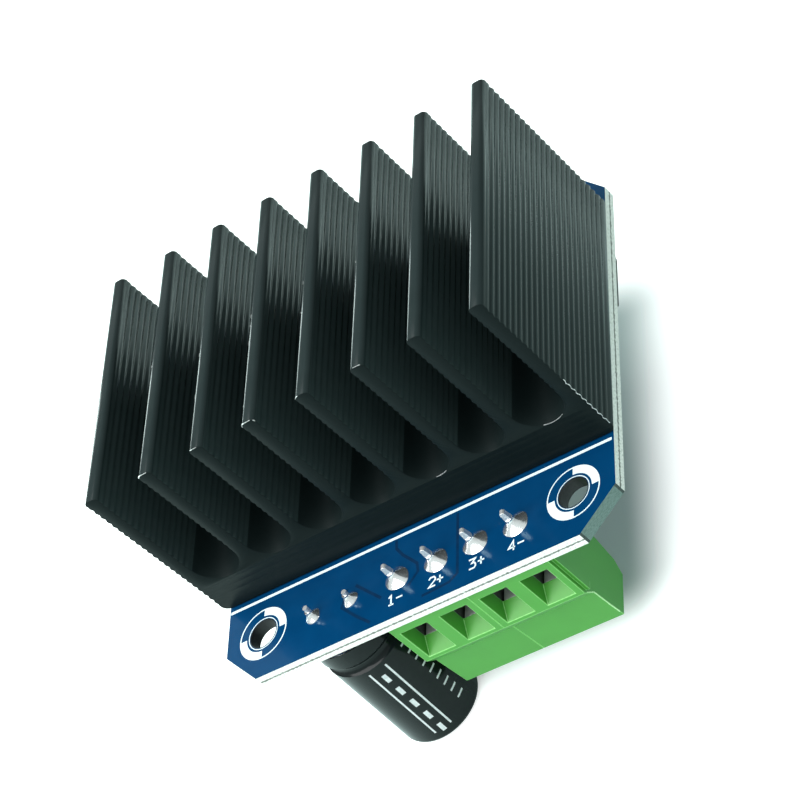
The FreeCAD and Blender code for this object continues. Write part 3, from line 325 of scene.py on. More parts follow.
# Painted shade: a near-black lining for the shade inside the corner holes.
HOLE_SHADE = plain_finish("hole_wall_shade", (0.008, 0.010, 0.011), (0.018, 0.021, 0.022), 0.5, grain=3.0, gloss=0.3)
BOARD = board_finish()


# Shapes

def joined(parts):
    """Several (points, faces) shapes as one."""
    points, faces = [], []
    for more_points, more_faces in parts:
        start = len(points)
        points += more_points
        faces += [[start + corner for corner in face] for face in more_faces]
    return points, faces


def add_piece(name, shape, materials, kinds=None, sharp=35):
    """A piece of the model from points in millimetres, which rides on the module."""
    points, faces = shape
    mesh = bpy.data.meshes.new(name)
    mesh.from_pydata([Vector(point) * MM for point in points], [], faces)
    for material in materials:
        mesh.materials.append(material)
    if kinds:
        mesh.polygons.foreach_set("material_index", kinds)
    turned = bmesh.new()
    turned.from_mesh(mesh)
    bmesh.ops.recalc_face_normals(turned, faces=turned.faces)
    turned.to_mesh(mesh)
    turned.free()
    mesh.shade_smooth()
    mesh.set_sharp_from_angle(angle=math.radians(sharp))
    piece = bpy.data.objects.new(name, mesh)
    bpy.context.scene.collection.objects.link(piece)
    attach(piece, "module")
    return piece


def arc(x, y, radius, start, end, steps):
    """Points along an arc, from one angle to another in degrees."""
    turns = [math.radians(start + (end - start) * step / steps) for step in range(steps + 1)]
    return [(x + radius * math.cos(turn), y + radius * math.sin(turn)) for turn in turns]


def circle(x, y, radius, count):
    """So many points round a circle."""
    return arc(x, y, radius, 0, 360 - 360 / count, count - 1)


LONGEST_MITRE = 2.5


def ribbon(line, width, low, high, closed=False):
    """A flat strip along a line in the plane, mitred at its corners, of one width or of a list of widths."""
    count = len(line)
    widths = width if isinstance(width, list) else [width] * count
    points, faces = [], []
    for index, (x, y) in enumerate(line):
        behind = line[(index - 1) % count] if closed or index else line[0]
        ahead = line[(index + 1) % count] if closed or index < count - 1 else line[-1]
        first = Vector((x - behind[0], y - behind[1]))
        second = Vector((ahead[0] - x, ahead[1] - y))
        first = (first if first.length else second).normalized()
        second = (second if second.length else first).normalized()
        across = Vector((-(first + second).y, (first + second).x)).normalized()
        mitre = max(abs(across.dot(Vector((-first.y, first.x)))), 1 / LONGEST_MITRE)
        reach = across * (widths[index] / 2) / mitre
        for side, level in ((1, low), (1, high), (-1, high), (-1, low)):
            points.append((x + side * reach.x, y + side * reach.y, level))
    for index in range(count if closed else count - 1):
        here, there = 4 * index, 4 * ((index + 1) % count)
        for corner in range(4):
            following = (corner + 1) % 4
            faces.append([here + corner, here + following, there + following, there + corner])
    if not closed:
        faces += [[3, 2, 1, 0], [4 * count - 4, 4 * count - 3, 4 * count - 2, 4 * count - 1]]
    return points, faces


def turned_shape(profile, x, y, steps, wobble):
    """A turned solid on an upright axis, from (radius, z) points that start and end on the axis. Its radius
    varies by the share that wobble gives for a turn and a z."""
    points, faces = [], []
    rings = []
    for radius, z in profile:
        if radius == 0:
            rings.append([len(points)])
            points.append((x, y, z))
            continue
        ring = []
        for step in range(steps):
            turn = math.tau * step / steps
            reach = radius * (1 + wobble(turn, z))
            ring.append(len(points))
            points.append((x + reach * math.cos(turn), y + reach * math.sin(turn), z))
        rings.append(ring)
    for lower, upper in zip(rings, rings[1:]):
        for step in range(steps):
            after = (step + 1) % steps
            corners = [lower[step % len(lower)], lower[after % len(lower)],
                       upper[after % len(upper)], upper[step % len(upper)]]
            faces.append(list(dict.fromkeys(corners)))
    return points, faces


# Heatsink: an extruded profile with rounded ridges along every fin

def fin_centre(index):
    """The x of a fin's middle, counted from the left. The two outer fins stand a little wider."""
    side = {0: -OUTER_FIN_SHIFT, FINS - 1: OUTER_FIN_SHIFT}.get(index, 0.0)
    return (index - (FINS - 1) / 2) * FIN_PITCH + side


def ridged_face(x, inward, low, high, depth):
    """Points up a fin face, with rounded ridges and narrow grooves between them."""
    steps = max(2, round((high - low) / RIDGE_PITCH * RIDGE_STEPS))
    points = []
    for step in range(steps + 1):
        z = low + (high - low) * step / steps
        ease = min(1.0, (z - low) / RIDGE_PITCH, (high - z) / (RIDGE_PITCH / 2))
        crest = abs(math.sin(math.pi * (high - z) / RIDGE_PITCH)) ** RIDGE_ROUNDING
        points.append((x + inward * depth * (1 - crest) * ease, z))
    return points


def sink_outline():
    """The profile in x and z, once round from the foot of the right-hand fin."""
    base, top = SINK_LOW.z, SINK_HIGH.z
    half = FIN_THICKNESS / 2
    bend, tip = SINK_CORNER_RADIUS, FIN_TIP_RADIUS
    gaps = [((fin_centre(index) + half), (fin_centre(index + 1) - half)) for index in range(FINS - 1)]
    floors = [((left + right) / 2, base + CHANNEL_FLOOR + (right - left) / 2, (right - left) / 2)
              for left, right in gaps]
    points = []
    for index in reversed(range(FINS)):
        left, right = fin_centre(index) - half, fin_centre(index) + half
        right_foot = floors[index][1] if index < FINS - 1 else base + bend
        left_foot = floors[index - 1][1] if index else base + bend
        right_depth = INNER_RIDGE_DEPTH if index < FINS - 1 else RIDGE_DEPTH
        left_depth = INNER_RIDGE_DEPTH if index else RIDGE_DEPTH
        points += ridged_face(right, -1, right_foot, top - tip, right_depth)
        points += arc(right - tip, top - tip, tip, 0, 90, TIP_STEPS)
        points += arc(left + tip, top - tip, tip, 90, 180, TIP_STEPS)
        points += ridged_face(left, 1, left_foot, top - tip, left_depth)[::-1]
        if index:
            x, z, radius = floors[index - 1]
            points += arc(x, z, radius, 0, -180, CHANNEL_STEPS)
    points += arc(SINK_LOW.x + bend, base + bend, bend, 180, 270, CORNER_STEPS)
    points += arc(SINK_HIGH.x - bend, base + bend, bend, 270, 360, CORNER_STEPS)
    outline = []
    for point in points:
        if not outline or math.dist(point, outline[-1]) > SAME_POINT:
            outline.append(point)
    if math.dist(outline[0], outline[-1]) < SAME_POINT:
        outline.pop()
    return outline


def inset(outline, reach):
    """The closed outline moved inward, to the left of its way round."""
    count = len(outline)
    moved = []
    for index, (x, z) in enumerate(outline):
        back, ahead = Vector(outline[index - 1]), Vector(outline[(index + 1) % count])
        way = (ahead - back).normalized()
        moved.append((x - way.y * reach, z + way.x * reach))
    return moved


# The kinds of surface on the heatsink, in the order of its materials, and where they begin and end. The
# channel kind carries painted shade, the fin-side kind painted light and the saw-cut kind partly painted shade.
SINK_MATERIALS = [ANODISED, SAWN_SHADED, CHANNEL_SHADE, LIT_FIN_SIDE, TIP_SIDE]
ON_FILM, ON_SAW_CUT, ON_CHANNEL_SHADE, ON_LIT_FIN_SIDE, ON_TIP_SIDE = range(len(SINK_MATERIALS))
BASE_SIDE = 1.0
CHANNEL_RISE = 2.6
RIDGE_MARGIN = 0.2
TIP_SIDE_SHARE = 0.3


def surface_kind(x, z):
    """The kind of surface at a place on the profile, painted shade in the channels and painted light on the
    fins.
    """
    inner_side = SINK_HIGH.x - FIN_THICKNESS
    tip_low = SINK_HIGH.z - FIN_TIP_RADIUS
    off_centre = min((x - fin_centre(index) for index in range(FINS)), key=abs)
    if abs(x) < inner_side and SINK_LOW.z + BASE_SIDE < z < SINK_LOW.z + CHANNEL_FLOOR + CHANNEL_RISE:
        return ON_CHANNEL_SHADE
    if abs(x) < inner_side + RIDGE_MARGIN and SINK_LOW.z + BASE_SIDE < z < tip_low:
        return ON_LIT_FIN_SIDE
    if z > tip_low and off_centre < TIP_SIDE_SHARE * FIN_TIP_RADIUS - FIN_THICKNESS / 2:
        return ON_TIP_SIDE
    return ON_FILM


def add_heatsink():
    """The heatsink in place of its CAD node, with its edges broken at both sawn ends. Gives its outline."""
    outline = sink_outline()
    narrow = inset(outline, SAW_EDGE)
    count = len(outline)
    front, back = SINK_LOW.y, SINK_HIGH.y
    points = []
    for ring, y in ((narrow, front), (outline, front + SAW_EDGE), (outline, back - SAW_EDGE), (narrow, back)):
        points += [(x, y, z) for x, z in ring]
    faces, kinds = [], []
    for ring in range(3):
        for index in range(count):
            after = (index + 1) % count
            faces.append([ring * count + index, ring * count + after,
                          (ring + 1) * count + after, (ring + 1) * count + index])
            kinds.append(surface_kind(*outline[index]) if ring == 1 else ON_SAW_CUT)
    faces += [list(range(count))[::-1], list(range(3 * count, 4 * count))]
    kinds += [ON_SAW_CUT, ON_SAW_CUT]
    piece = add_piece("ribbed_heatsink", (points, faces), SINK_MATERIALS, kinds, sharp=50)
    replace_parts(piece, "heatsink")
    return outline


# Where the saw tore the film: from one place on the profile to another, and the widest the burr gets
BURRS = (
    ((25.6, 9.4), (25.6, 1.4), 0.06),
    ((-4.25, 22.4), (-3.0, 22.8), 0.20),
    ((-2.75, 22.6), (-2.62, 22.3), 0.12),
    ((2.7, 22.5), (3.2, 22.8), 0.10),
    ((20.1, 5.0), (22.5, 5.5), 0.05),
    ((6.7, 4.8), (8.0, 5.0), 0.06),
    ((-18.0, 22.5), (-16.75, 22.8), 0.14),
    ((-10.9, 22.75), (-10.1, 22.8), 0.07),
    ((10.0, 22.8), (10.9, 22.7), 0.06),
)
BURR_SEED = 4
BURR_ROOT, BURR_DEPTH, BURR_END = 0.02, 0.05, 0.02
BURR_SHARES = (0.15, 1.0)

# Small nicks along the left edges of the fin tips: (fin, how many), and the sizes that they vary between
NICKED_FINS = ((1, 1), (2, 2), (3, 4), (4, 3), (5, 1))
NICK_PLACES = (SINK_LOW.y + 1, 2)
NICK_LENGTHS = (0.15, 0.55)
NICK_WIDTHS, NICK_END = (0.025, 0.04), 0.01
NICK_ROOT, NICK_RISE = 0.02, 0.006


def nearest(outline, place):
    """The number of the outline's point that is nearest to a place."""
    return min(range(len(outline)), key=lambda index: math.dist(outline[index], place))


def add_burrs(outline):
    """Torn bright slivers on the front edge of the heatsink, and nicks on its fin tips."""
    chance = random.Random(BURR_SEED)
    parts = []
    for start, end, width in BURRS:
        low, high = sorted((nearest(outline, start), nearest(outline, end)))
        line = outline[low:high + 1]
        widths = [width * chance.uniform(*BURR_SHARES) for _ in line]
        widths[0] = widths[-1] = BURR_END
        points, faces = ribbon(line, widths, -BURR_ROOT, BURR_DEPTH)
        parts.append(([(max(SINK_LOW.x, min(x, SINK_HIGH.x)), SINK_LOW.y + level, min(z, SINK_HIGH.z))
                       for x, z, level in points], faces))
    slant = FIN_TIP_RADIUS * (1 - math.sqrt(0.5))
    for index, count in NICKED_FINS:
        x, z = fin_centre(index) - FIN_THICKNESS / 2 + slant, SINK_HIGH.z - slant
        for _ in range(count):
            start, length = chance.uniform(*NICK_PLACES), chance.uniform(*NICK_LENGTHS)
            line = [(start, z), (start + length / 2, z), (start + length, z)]
            widths = [NICK_END, chance.uniform(*NICK_WIDTHS), NICK_END]
            points, faces = ribbon(line, widths, -NICK_ROOT, NICK_RISE)
            parts.append(([(x + level, y, height) for y, height, level in points], faces))
    add_piece("heatsink_burrs", joined(parts), [TORN_EDGE])


# Print and marks on the board

STROKES = {
    "1": (((0.15, 0.80), (0.55, 1.0), (0.55, 0.0)), ((0.15, 0.0), (0.95, 0.0))),
    "2": (((0.0, 0.8), (0.2, 1.0), (0.8, 1.0), (1.0, 0.8), (1.0, 0.62), (0.0, 0.0), (1.0, 0.0)),),
    "3": (((0.0, 1.0), (1.0, 1.0), (0.45, 0.58), (0.8, 0.58), (1.0, 0.4), (1.0, 0.18), (0.8, 0.0),
           (0.0, 0.0)),),
    "4": (((0.75, 0.0), (0.75, 1.0), (0.0, 0.32), (1.0, 0.32)),),
    "+": (((0.0, 0.5), (1.0, 0.5)), ((0.5, 0.1), (0.5, 0.9))),
    "-": (((0.0, 0.5), (1.0, 0.5)),),
}
MARKS = (("1", -3.15), ("-", -2.05), ("2", 2.15), ("+", 3.15), ("3", 7.2), ("+", 8.3), ("4", 12.1), ("-", 13.2))
MARK_LOW, MARK_WIDTH, MARK_HEIGHT, MARK_STROKE = -23.22, 0.80, 1.15, 0.18
SILK_LINE = ((-24.85, -14.76), (24.75, -14.76))
SILK_WIDTH = 0.34
RING_RADIUS, RING_INNER, RIM_RADIUS = 3.2, 2.25, 1.93
RING_LINE, RIM_LINE = 0.14, 0.09
RING_POINTS, QUARTER_STEPS = 60, 24
QUARTER_RISE = 0.002
POURS = (
    ((-2.25, -15.14), (-2.21, -16.22), (-1.35, -17.42), (0.55, -19.32), (0.69, -20.42), (-0.54, -21.71)),
    ((5.7, -15.22), (5.73, -22.94), (4.74, -23.61), (1.24, -23.84)),
    ((-7.52, -18.58), (-4.06, -21.74)),
    ((-8.64, -18.62), (-9.28, -20.7), (-7.33, -22.62), (-5.42, -24.25)),
)
POUR_WIDTH, POUR_RISE = 0.34, 0.006
WALL_THICKNESS, WALL_POINTS = 0.06, 48


def add_print():
    """The white print on the solder side: a line, rings round the holes and marks under the joints."""
    parts = [ribbon(SILK_LINE, SILK_WIDTH, 0.0, PRINT_HEIGHT)]
    for mark, left in MARKS:
        for stroke in STROKES[mark]:
            line = [(left + x * MARK_WIDTH, MARK_LOW + y * MARK_HEIGHT) for x, y in stroke]
            parts.append(ribbon(line, MARK_STROKE, 0.0, PRINT_HEIGHT))
    middle, wide = (RING_RADIUS + RING_INNER) / 2, RING_RADIUS - RING_INNER
    for x, y in HOLES:
        for radius, width in ((RING_RADIUS - RING_LINE / 2, RING_LINE), (RIM_RADIUS, RIM_LINE)):
            parts.append(ribbon(circle(x, y, radius, RING_POINTS), width, 0.0, PRINT_HEIGHT, closed=True))
        for start in (0, 180):
            quarter = arc(x, y, middle, start, start + 90, QUARTER_STEPS)
            parts.append(ribbon(quarter, wide, 0.0, PRINT_HEIGHT + QUARTER_RISE))
    add_piece("solder_side_print", joined(parts), [SILK])


def add_pour_lines():
    """The narrow gaps between copper areas, darker under the mask."""
    add_piece("pour_lines", joined([ribbon(line, POUR_WIDTH, 0.0, POUR_RISE) for line in POURS]),
              [POUR_LINE])


def add_hole_walls():
    """Dark linings on the walls of the corner holes: painted shade."""
    radius = HOLE_RADIUS - WALL_THICKNESS / 2
    parts = [ribbon(circle(x, y, radius, WALL_POINTS), WALL_THICKNESS, BOARD_LOW.z, PRINT_HEIGHT, closed=True)
             for x, y in HOLES]
    add_piece("hole_walls", joined(parts), [HOLE_SHADE])


# Solder joints: the radius of the foot, the radius of the neck and the height of each kind, and the waves
# round their feet, as how many there are and what share of the radius they move

TERMINAL_JOINT, LEAD_JOINT, HEADER_JOINT = (1.45, 0.46, 1.3), (0.92, 0.36, 1.05), (0.85, 0.45, 0.75)
TERMINAL_SEED, LEAD_SEED, HEADER_SEED = 11, 21, 31
WAVES = ((2, 0.05), (3, 0.03), (5, 0.015))
WAVE_FADE = 0.75
JOINT_STEPS, JOINT_SIDES = 14, 36
FOOT_RIM, FOOT_BULGE = 0.03, 1.01
JOINT_HOLLOW, JOINT_CLIMB = 2.0, 0.9
NECK_RISE, NECK_SHARE, NECK_TOP = 0.02, 0.8, 0.03


def joint_shape(x, y, foot, neck, height, seed):
    """A concave cone of solder with a thin foot, an uneven rim and a rounded neck."""
    chance = random.Random(seed)
    phases = [chance.uniform(0, math.tau) for _ in WAVES]

    def wobble(turn, z):
        fade = 1 - WAVE_FADE * min(z / height, 1)
        return fade * sum(size * math.sin(count * turn + phase) for (count, size), phase in zip(WAVES, phases))

    profile = [(0, 0.0), (foot, 0.0), (foot * FOOT_BULGE, FOOT_RIM)]
    for step in range(1, JOINT_STEPS + 1):
        share = step / JOINT_STEPS
        profile.append((neck + (foot - neck) * (1 - share) ** JOINT_HOLLOW,
                        FOOT_RIM + (height - FOOT_RIM) * share ** JOINT_CLIMB))
    profile += [(neck * NECK_SHARE, height + NECK_RISE), (0, height + NECK_TOP)]
    return turned_shape(profile, x, y, JOINT_SIDES, wobble)


def add_joint_set(name, node, size, places):
    """The joints at (x, y, seed) places, in place of a CAD node of solder."""
    shape = joined([joint_shape(x, y, *size, seed) for x, y, seed in places])
    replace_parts(add_piece(name, shape, [SOLDER], sharp=60), node)


def add_joints():
    """The solder joints of the terminals, the capacitor and the header."""
    add_joint_set("terminal_joints", "terminal_solder", TERMINAL_JOINT,
                  [(x, PIN_ROW, TERMINAL_SEED + index) for index, x in enumerate(POLES)])
    add_joint_set("capacitor_joints", "capacitor_solder", LEAD_JOINT,
                  [(CAPACITOR_X + side * LEAD_PITCH / 2, PIN_ROW, LEAD_SEED + side) for side in (-1, 1)])
    add_joint_set("header_joints", "header_solder", HEADER_JOINT,
                  [((column - (HEADER_COLUMNS - 1) / 2) * HEADER_PITCH, HEADER_ROW + row * HEADER_PITCH,
                    HEADER_SEED + column) for column in range(HEADER_COLUMNS) for row in (-0.5, 0.5)])


# Capacitor print: plain bars and minus signs round the sleeve. Headings are in degrees round it, and places
# down it are distances from the board.

SLEEVE_RADIUS = 5.1
LEAN, LEAN_HEADING = math.radians(2.85), math.radians(218.5)
AXIS = Vector((math.sin(LEAN_HEADING), -math.cos(LEAN_HEADING), 0))
STAND = Matrix.Translation((CAPACITOR_X, PIN_ROW, BOARD_LOW.z)) @ Matrix.Rotation(LEAN, 4, AXIS)
STROKE_STEP, STROKE_HEIGHT = 0.35, 0.015
BAND_HEADINGS, TICK_HEADINGS = (-72, 108), (-26, 154)
RAIL_OFFSET, RAIL_START, RAIL_END, RAIL_WIDTH = 1.05, 4.6, 16.6, 0.22
MINUSES, MINUS_START, MINUS_PITCH, MINUS_LENGTH, MINUS_WIDTH = 5, 5.6, 2.5, 1.3, 0.52
TICKS, TICK_START, TICK_PITCH, TICK_REACH, TICK_WIDTH = 9, 4.8, 1.3, 0.55, 0.24


def on_sleeve(points):
    """Points given as (distance round, distance down, height) on the leaning sleeve."""
    placed = []
    for around, down, height in points:
        turn = around / SLEEVE_RADIUS
        reach = SLEEVE_RADIUS + height
        placed.append(tuple(STAND @ Vector((reach * math.cos(turn), reach * math.sin(turn), -down))))
    return placed


def sleeve_line(start, end, width):
    """A straight printed stroke from one (around, down) place to another."""
    steps = max(1, math.ceil(abs(end[0] - start[0]) / STROKE_STEP))
    line = [(start[0] + (end[0] - start[0]) * step / steps, start[1] + (end[1] - start[1]) * step / steps)
            for step in range(steps + 1)]
    points, faces = ribbon(line, width, 0.0, STROKE_HEIGHT)
    return on_sleeve(points), faces


def add_sleeve_print():
    """Two bands of minus signs between rails along the sleeve, and two rows of small ticks."""
    parts = []
    for heading in BAND_HEADINGS:
        middle = math.radians(heading) * SLEEVE_RADIUS
        for rail in (middle - RAIL_OFFSET, middle + RAIL_OFFSET):
            parts.append(sleeve_line((rail, RAIL_START), (rail, RAIL_END), RAIL_WIDTH))
        for step in range(MINUSES):
            down = MINUS_START + step * MINUS_PITCH
            parts.append(sleeve_line((middle, down), (middle, down + MINUS_LENGTH), MINUS_WIDTH))
    for heading in TICK_HEADINGS:
        middle = math.radians(heading) * SLEEVE_RADIUS
        for step in range(TICKS):
            down = TICK_START + step * TICK_PITCH
            parts.append(sleeve_line((middle - TICK_REACH, down), (middle + TICK_REACH, down), TICK_WIDTH))
    add_piece("sleeve_print", joined(parts), [SLEEVE_PRINT])


# Chip resistors and capacitors: tinned ends over the CAD bodies

CAP_LENGTH, CAP_SKIN, CAP_BEVEL = 0.32, 0.02, 0.03
CAP_BOARD_GAP = 0.002


def separate_bodies(node):
    """The boxes, in millimetres, of the bodies that make up a CAD node."""
    shape = bmesh.new()
    shape.from_mesh(NODES[node].data)
    shape.transform(NODES[node].matrix_world)
    bmesh.ops.remove_doubles(shape, verts=shape.verts, dist=SAME_POINT * MM)
    left, boxes = set(shape.verts), []
    while left:
        group, rim = [], [left.pop()]
        while rim:
            vertex = rim.pop()
            group.append(vertex.co / MM)
            for edge in vertex.link_edges:
                other = edge.other_vert(vertex)
                if other in left:
                    left.remove(other)
                    rim.append(other)
        boxes.append([[pick(point[axis] for point in group) for axis in range(3)] for pick in (min, max)])
    shape.free()
    return sorted(boxes)


def end_cap(low, high):
    """A cap with chamfered edges at its two x ends, from its lowest to its highest corner."""
    points, faces = [], []
    rings = ((low[0], CAP_BEVEL), (low[0] + CAP_BEVEL, 0), (high[0] - CAP_BEVEL, 0), (high[0], CAP_BEVEL))
    for x, inward in rings:
        for y, z in ((low[1] + inward, low[2] + inward), (high[1] - inward, low[2] + inward),
                     (high[1] - inward, high[2] - inward), (low[1] + inward, high[2] - inward)):
            points.append((x, y, z))
    for ring in range(3):
        for corner in range(4):
            after = (corner + 1) % 4
            faces.append([4 * ring + corner, 4 * ring + after, 4 * ring + 4 + after, 4 * ring + 4 + corner])
    return points, faces + [[3, 2, 1, 0], [12, 13, 14, 15]]


def add_end_caps():
    """A cap over both ends of every small part, along its longer side."""
    for node, slot in (("chip_resistors", "resistor_ceramic"), ("chip_capacitors", "capacitor_ceramic")):
        parts = []
        for low, high in separate_bodies(node):
            long_axis = 0 if high[0] - low[0] > high[1] - low[1] else 1
            for start in (low[long_axis] - CAP_SKIN, high[long_axis] + CAP_SKIN - CAP_LENGTH):
                cap_low = [value - CAP_SKIN for value in low]
                cap_high = [value + CAP_SKIN for value in high[:2]] + [high[2] - CAP_BOARD_GAP]
                cap_low[long_axis], cap_high[long_axis] = start, start + CAP_LENGTH
                parts.append(end_cap(cap_low, cap_high))
        add_piece(f"{node}_ends", joined(parts), [TIN], sharp=30)


# Terminal: the thin flash that the mould left on its right edge, along (y, z) places.
# Its pale green is a painted highlight along that edge.

FLASH_PATH = ((-24.45, -8.6), (-24.0, -9.3), (-23.62, -9.9), (-23.55, -10.9), (-23.48, -11.9), (-23.40, -12.9),
              (-23.30, -13.9), (-23.22, -14.7))
FLASH_SEED, FLASH_STEPS = 9, 4
FLASH_WIDTHS, FLASH_REACH = (0.05, 0.16), 0.05
FLASH_INSET = 0.5


def add_flash():
    """The flash, of uneven width, in a pale green that paints a highlight on it."""
    chance = random.Random(FLASH_SEED)
    line = []
    for (y, z), (next_y, next_z) in zip(FLASH_PATH, FLASH_PATH[1:]):
        for step in range(FLASH_STEPS):
            share = step / FLASH_STEPS
            line.append((y + (next_y - y) * share, z + (next_z - z) * share))
    widths = [chance.uniform(*FLASH_WIDTHS) for _ in line]
    points, faces = ribbon(line, widths, -FLASH_REACH, FLASH_REACH)
    right = HOUSING_HIGH.x - FLASH_INSET
    add_piece("terminal_flash", ([(right + level, y, z) for y, z, level in points], faces),
              [GREEN_FLASH_HIGHLIGHT])


# Carried-over CAD nodes: a material each, and softened edges where the real part is moulded or pressed.
# On the terminal housings the softened edges are a lighter green: a painted highlight.

SOFT_EDGE_STEPS, SOFT_EDGE_ANGLE = 2, 32


def dress(node, material, edge=0.0, edge_highlight=None):
    """Give a CAD node one material and, if asked, rounded edges of that width in a painted highlight material.
    """
    piece = NODES[node]
    for slot in piece.material_slots:
        slot.material = material
    if edge:
        weld = piece.modifiers.new("weld", "WELD")
        weld.merge_threshold = SAME_POINT * MM
        bevel = piece.modifiers.new("edges", "BEVEL")
        bevel.width = edge * MM
        bevel.segments = SOFT_EDGE_STEPS
        bevel.limit_method = "ANGLE"
        bevel.angle_limit = math.radians(SOFT_EDGE_ANGLE)
        bevel.harden_normals = True
        if edge_highlight:
            piece.data.materials.append(edge_highlight)
            bevel.material = len(piece.data.materials) - 1


FINISHES = {
    "thermal_pad": (THERMAL,), "circuit_board": (BOARD,),
    "heatsink_screw_front": (ZINC,), "heatsink_screw_back": (ZINC,),
    "left_terminal_housing": (GREEN, 0.07, GREEN_EDGE_HIGHLIGHT), "right_terminal_housing": (GREEN, 0.07, GREEN_EDGE_HIGHLIGHT),
    "capacitor_can": (CAN,), "capacitor_sleeve": (SLEEVE,), "capacitor_bung": (BUNG,),
    "capacitor_leads": (PIN,), "left_bridge_leads": (TIN, 0.04), "right_bridge_leads": (TIN, 0.04),
    "logic_chip_leads": (TIN,), "header_base": (BLACK_PLASTIC, 0.05), "header_pins": (GILT, 0.05),
    "left_bridge_chip": (CHIP, 0.12), "right_bridge_chip": (CHIP, 0.12), "logic_chip": (CHIP, 0.08),
    "chip_resistors": (RESISTOR, 0.06), "chip_capacitors": (CERAMIC, 0.08),
    **{f"contact_{index}": (PIN, 0.06) for index in range(1, 5)},
    **{f"wire_clamp_{index}": (SHADED_CAGE, 0.05) for index in range(1, 5)},
    **{f"clamp_screw_{index}": (ZINC,) for index in range(1, 5)},
}
for node, finish in FINISHES.items():
    dress(node, *finish)


# Camera, floor and light

EYE = Vector((134.465, -185.140, 167.922)) * MM
TARGET = Vector((-0.186, 1.239, 2.749)) * MM
ROLL = math.radians(49.154)
LENS = 119.34
SENSOR = 36.0
CLIP_START = 10.0


def add_camera():
    """The photograph's view: from in front, to the right and above, rolled clockwise."""
    camera = bpy.data.objects.new("photo_camera", bpy.data.cameras.new("photo_camera"))
    bpy.context.scene.collection.objects.link(camera)
    turn = (TARGET - EYE).to_track_quat("-Z", "Y").to_matrix().to_4x4()
    camera.matrix_world = Matrix.Translation(EYE) @ turn @ Matrix.Rotation(-ROLL, 4, "Z")
    camera.data.lens = LENS
    camera.data.sensor_width = SENSOR
    camera.data.clip_start = CLIP_START * MM
    bpy.context.scene.camera = camera


# The floor shows pure white past GLOW_END from a rectangle of painted shade under the module, where the glow
# is left out and its real shadow shows, and bounces what falls on it everywhere. Mirrored in the module, its
# glow is dimmer and bluer, a painted reflection on top of the real one.
FLOOR_REACH, FLOOR_GAP = 3000.0, 0.05
FLOOR_COLOUR, MIRRORED_COLOUR = (0.61, 0.71, 0.685, 1.0), (0.55, 1.0, 1.0)
FLOOR_GLOW, MIRRORED_GLOW = 0.85, 0.26
GLOW_START, GLOW_END = 0.8, 9.5
SHADE_MIDDLE_Y, SHADE_HALF_X, SHADE_HALF_Y = 4.0, 12.0, 18.0


def shade_distance(tree):
    """The distance from the rectangle of shade, along the floor."""
    across, along, _ = split(tree, object_place(tree))
    from_middle = reckon(tree, "SUBTRACT", along, SHADE_MIDDLE_Y)
    squares = []
    for part, half in ((across, SHADE_HALF_X), (from_middle, SHADE_HALF_Y)):
        outside = reckon(tree, "SUBTRACT", reckon(tree, "ABSOLUTE", part), half)
        squares.append(reckon(tree, "POWER", reckon(tree, "MAXIMUM", outside, 0.0), 2.0))
    return reckon(tree, "SQRT", reckon(tree, "ADD", *squares))


def floor_finish():
    """A matt pale table whose glow the camera sees, and mirrors see in part."""
    material, tree = new_material("white_table")
    output = add_node(tree, "ShaderNodeOutputMaterial")
    matt = add_node(tree, "ShaderNodeBsdfDiffuse")
    matt.inputs["Color"].default_value = FLOOR_COLOUR
    glow = add_node(tree, "ShaderNodeEmission")
    fade = add_node(tree, "ShaderNodeMapRange", interpolation_type="SMOOTHSTEP")
    fade.inputs["From Min"].default_value = GLOW_START
    fade.inputs["From Max"].default_value = GLOW_END
    fade.inputs["To Max"].default_value = FLOOR_GLOW
    tree.links.new(shade_distance(tree), fade.inputs["Value"])
    path = add_node(tree, "ShaderNodeLightPath")
    mirrored = reckon(tree, "MAXIMUM", path.outputs["Is Glossy Ray"], path.outputs["Is Transmission Ray"])
    share = reckon(tree, "MAXIMUM", path.outputs["Is Camera Ray"],
                   reckon(tree, "MULTIPLY", mirrored, MIRRORED_GLOW / FLOOR_GLOW))
    tree.links.new(reckon(tree, "MULTIPLY", share, fade.outputs[0]), glow.inputs["Strength"])
    tree.links.new(ramp(tree, mirrored, (0.0, (1.0, 1.0, 1.0)), (1.0, MIRRORED_COLOUR)), glow.inputs["Color"])
    both = add_node(tree, "ShaderNodeAddShader")
    tree.links.new(matt.outputs[0], both.inputs[0])
    tree.links.new(glow.outputs[0], both.inputs[1])
    tree.links.new(both.outputs[0], output.inputs[0])
    return material


def add_floor():
    """A white table under the capacitor's end."""
    level = CAD_BOX[0][2] - FLOOR_GAP * MM
    reach = FLOOR_REACH * MM
    mesh = bpy.data.meshes.new("floor")
    mesh.from_pydata([(side_x * reach, side_y * reach, level)
                      for side_x, side_y in ((-1, -1), (1, -1), (1, 1), (-1, 1))], [], [(0, 1, 2, 3)])
    mesh.materials.append(floor_finish())
    floor = bpy.data.objects.new("floor", mesh)
    bpy.context.scene.collection.objects.link(floor)


SKY_DARK, SKY_BRIGHT = 0.34, 0.74
SKY_BRIGHT_SIDE = Vector((-0.30, -0.62, 0.72)).normalized()
SKY_FADE_START, SKY_FADE_END = -0.6, 0.9
SKY_TINT = (0.90, 1.0, 0.99, 1.0)


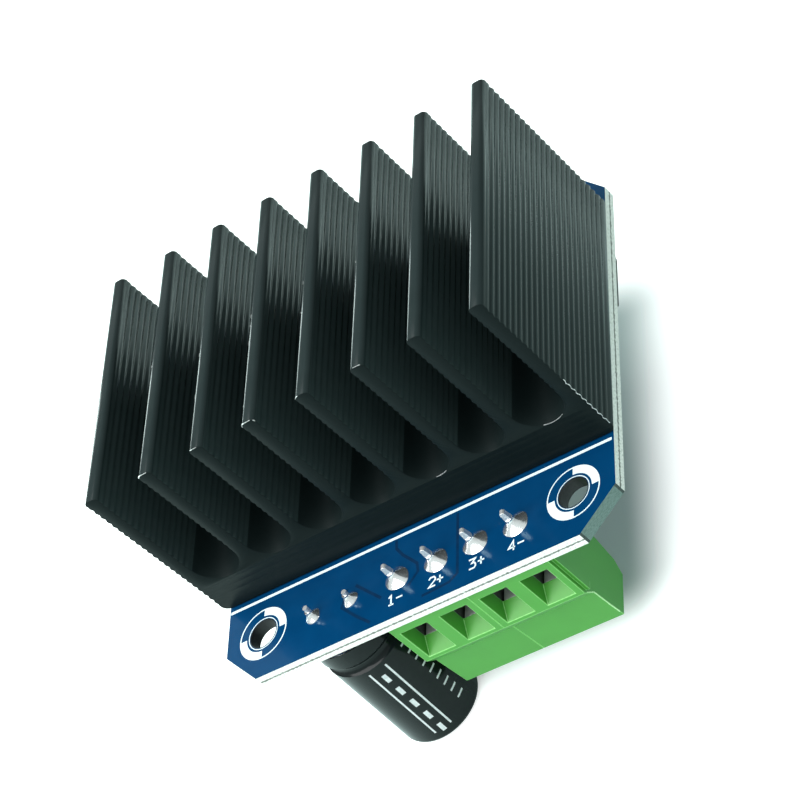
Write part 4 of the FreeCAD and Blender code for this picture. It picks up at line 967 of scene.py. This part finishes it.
def add_world():
    """A soft studio: brighter above and in front on the left, and plain white where seen directly."""
    world = bpy.data.worlds.new("studio")
    world.use_nodes = True
    tree = world.node_tree
    tree.nodes.clear()
    output = add_node(tree, "ShaderNodeOutputWorld")
    sky = add_node(tree, "ShaderNodeBackground")
    way = add_node(tree, "ShaderNodeTexCoord")
    facing = add_node(tree, "ShaderNodeVectorMath", operation="DOT_PRODUCT")
    facing.inputs[1].default_value = SKY_BRIGHT_SIDE
    tree.links.new(way.outputs["Generated"], facing.inputs[0])
    soft = add_node(tree, "ShaderNodeMapRange", interpolation_type="SMOOTHSTEP")
    soft.inputs["From Min"].default_value = SKY_FADE_START
    soft.inputs["From Max"].default_value = SKY_FADE_END
    soft.inputs["To Min"].default_value = SKY_DARK
    soft.inputs["To Max"].default_value = SKY_BRIGHT
    tree.links.new(facing.outputs["Value"], soft.inputs["Value"])
    path = add_node(tree, "ShaderNodeLightPath")
    strength = reckon(tree, "MAXIMUM", soft.outputs[0], path.outputs["Is Camera Ray"])
    tree.links.new(strength, sky.inputs["Strength"])
    sky.inputs["Color"].default_value = SKY_TINT
    tree.links.new(sky.outputs[0], output.inputs[0])
    bpy.context.scene.world = world


# Lamps: name, place, target, size, power in watts, colour
LAMPS = (
    ("key_lamp", (-240, -320, 580), (0, 0, 0), 620, 6.6, (1.0, 1.0, 1.0)),
    ("back_lamp", (-520, 280, 220), (-20, 0, 10), 240, 2.6, (0.85, 1.0, 0.98)),
)


def add_lamp(name, place, target, size, power, colour):
    """A square soft lamp at place, aimed at target, all in millimetres."""
    lamp = bpy.data.lights.new(name, "AREA")
    lamp.shape = "SQUARE"
    lamp.size = size * MM
    lamp.energy = power
    lamp.color = colour
    holder = bpy.data.objects.new(name, lamp)
    turn = (Vector(target) - Vector(place)).to_track_quat("-Z", "Y").to_matrix().to_4x4()
    holder.matrix_world = Matrix.Translation(Vector(place) * MM) @ turn
    bpy.context.scene.collection.objects.link(holder)


SINK_OUTLINE = add_heatsink()
add_burrs(SINK_OUTLINE)
add_print()
add_pour_lines()
add_hole_walls()
add_joints()
add_sleeve_print()
add_end_caps()
add_flash()
add_camera()
add_floor()
add_world()
for lamp in LAMPS:
    add_lamp(*lamp)
bpy.context.scene.view_settings.view_transform = "Standard"
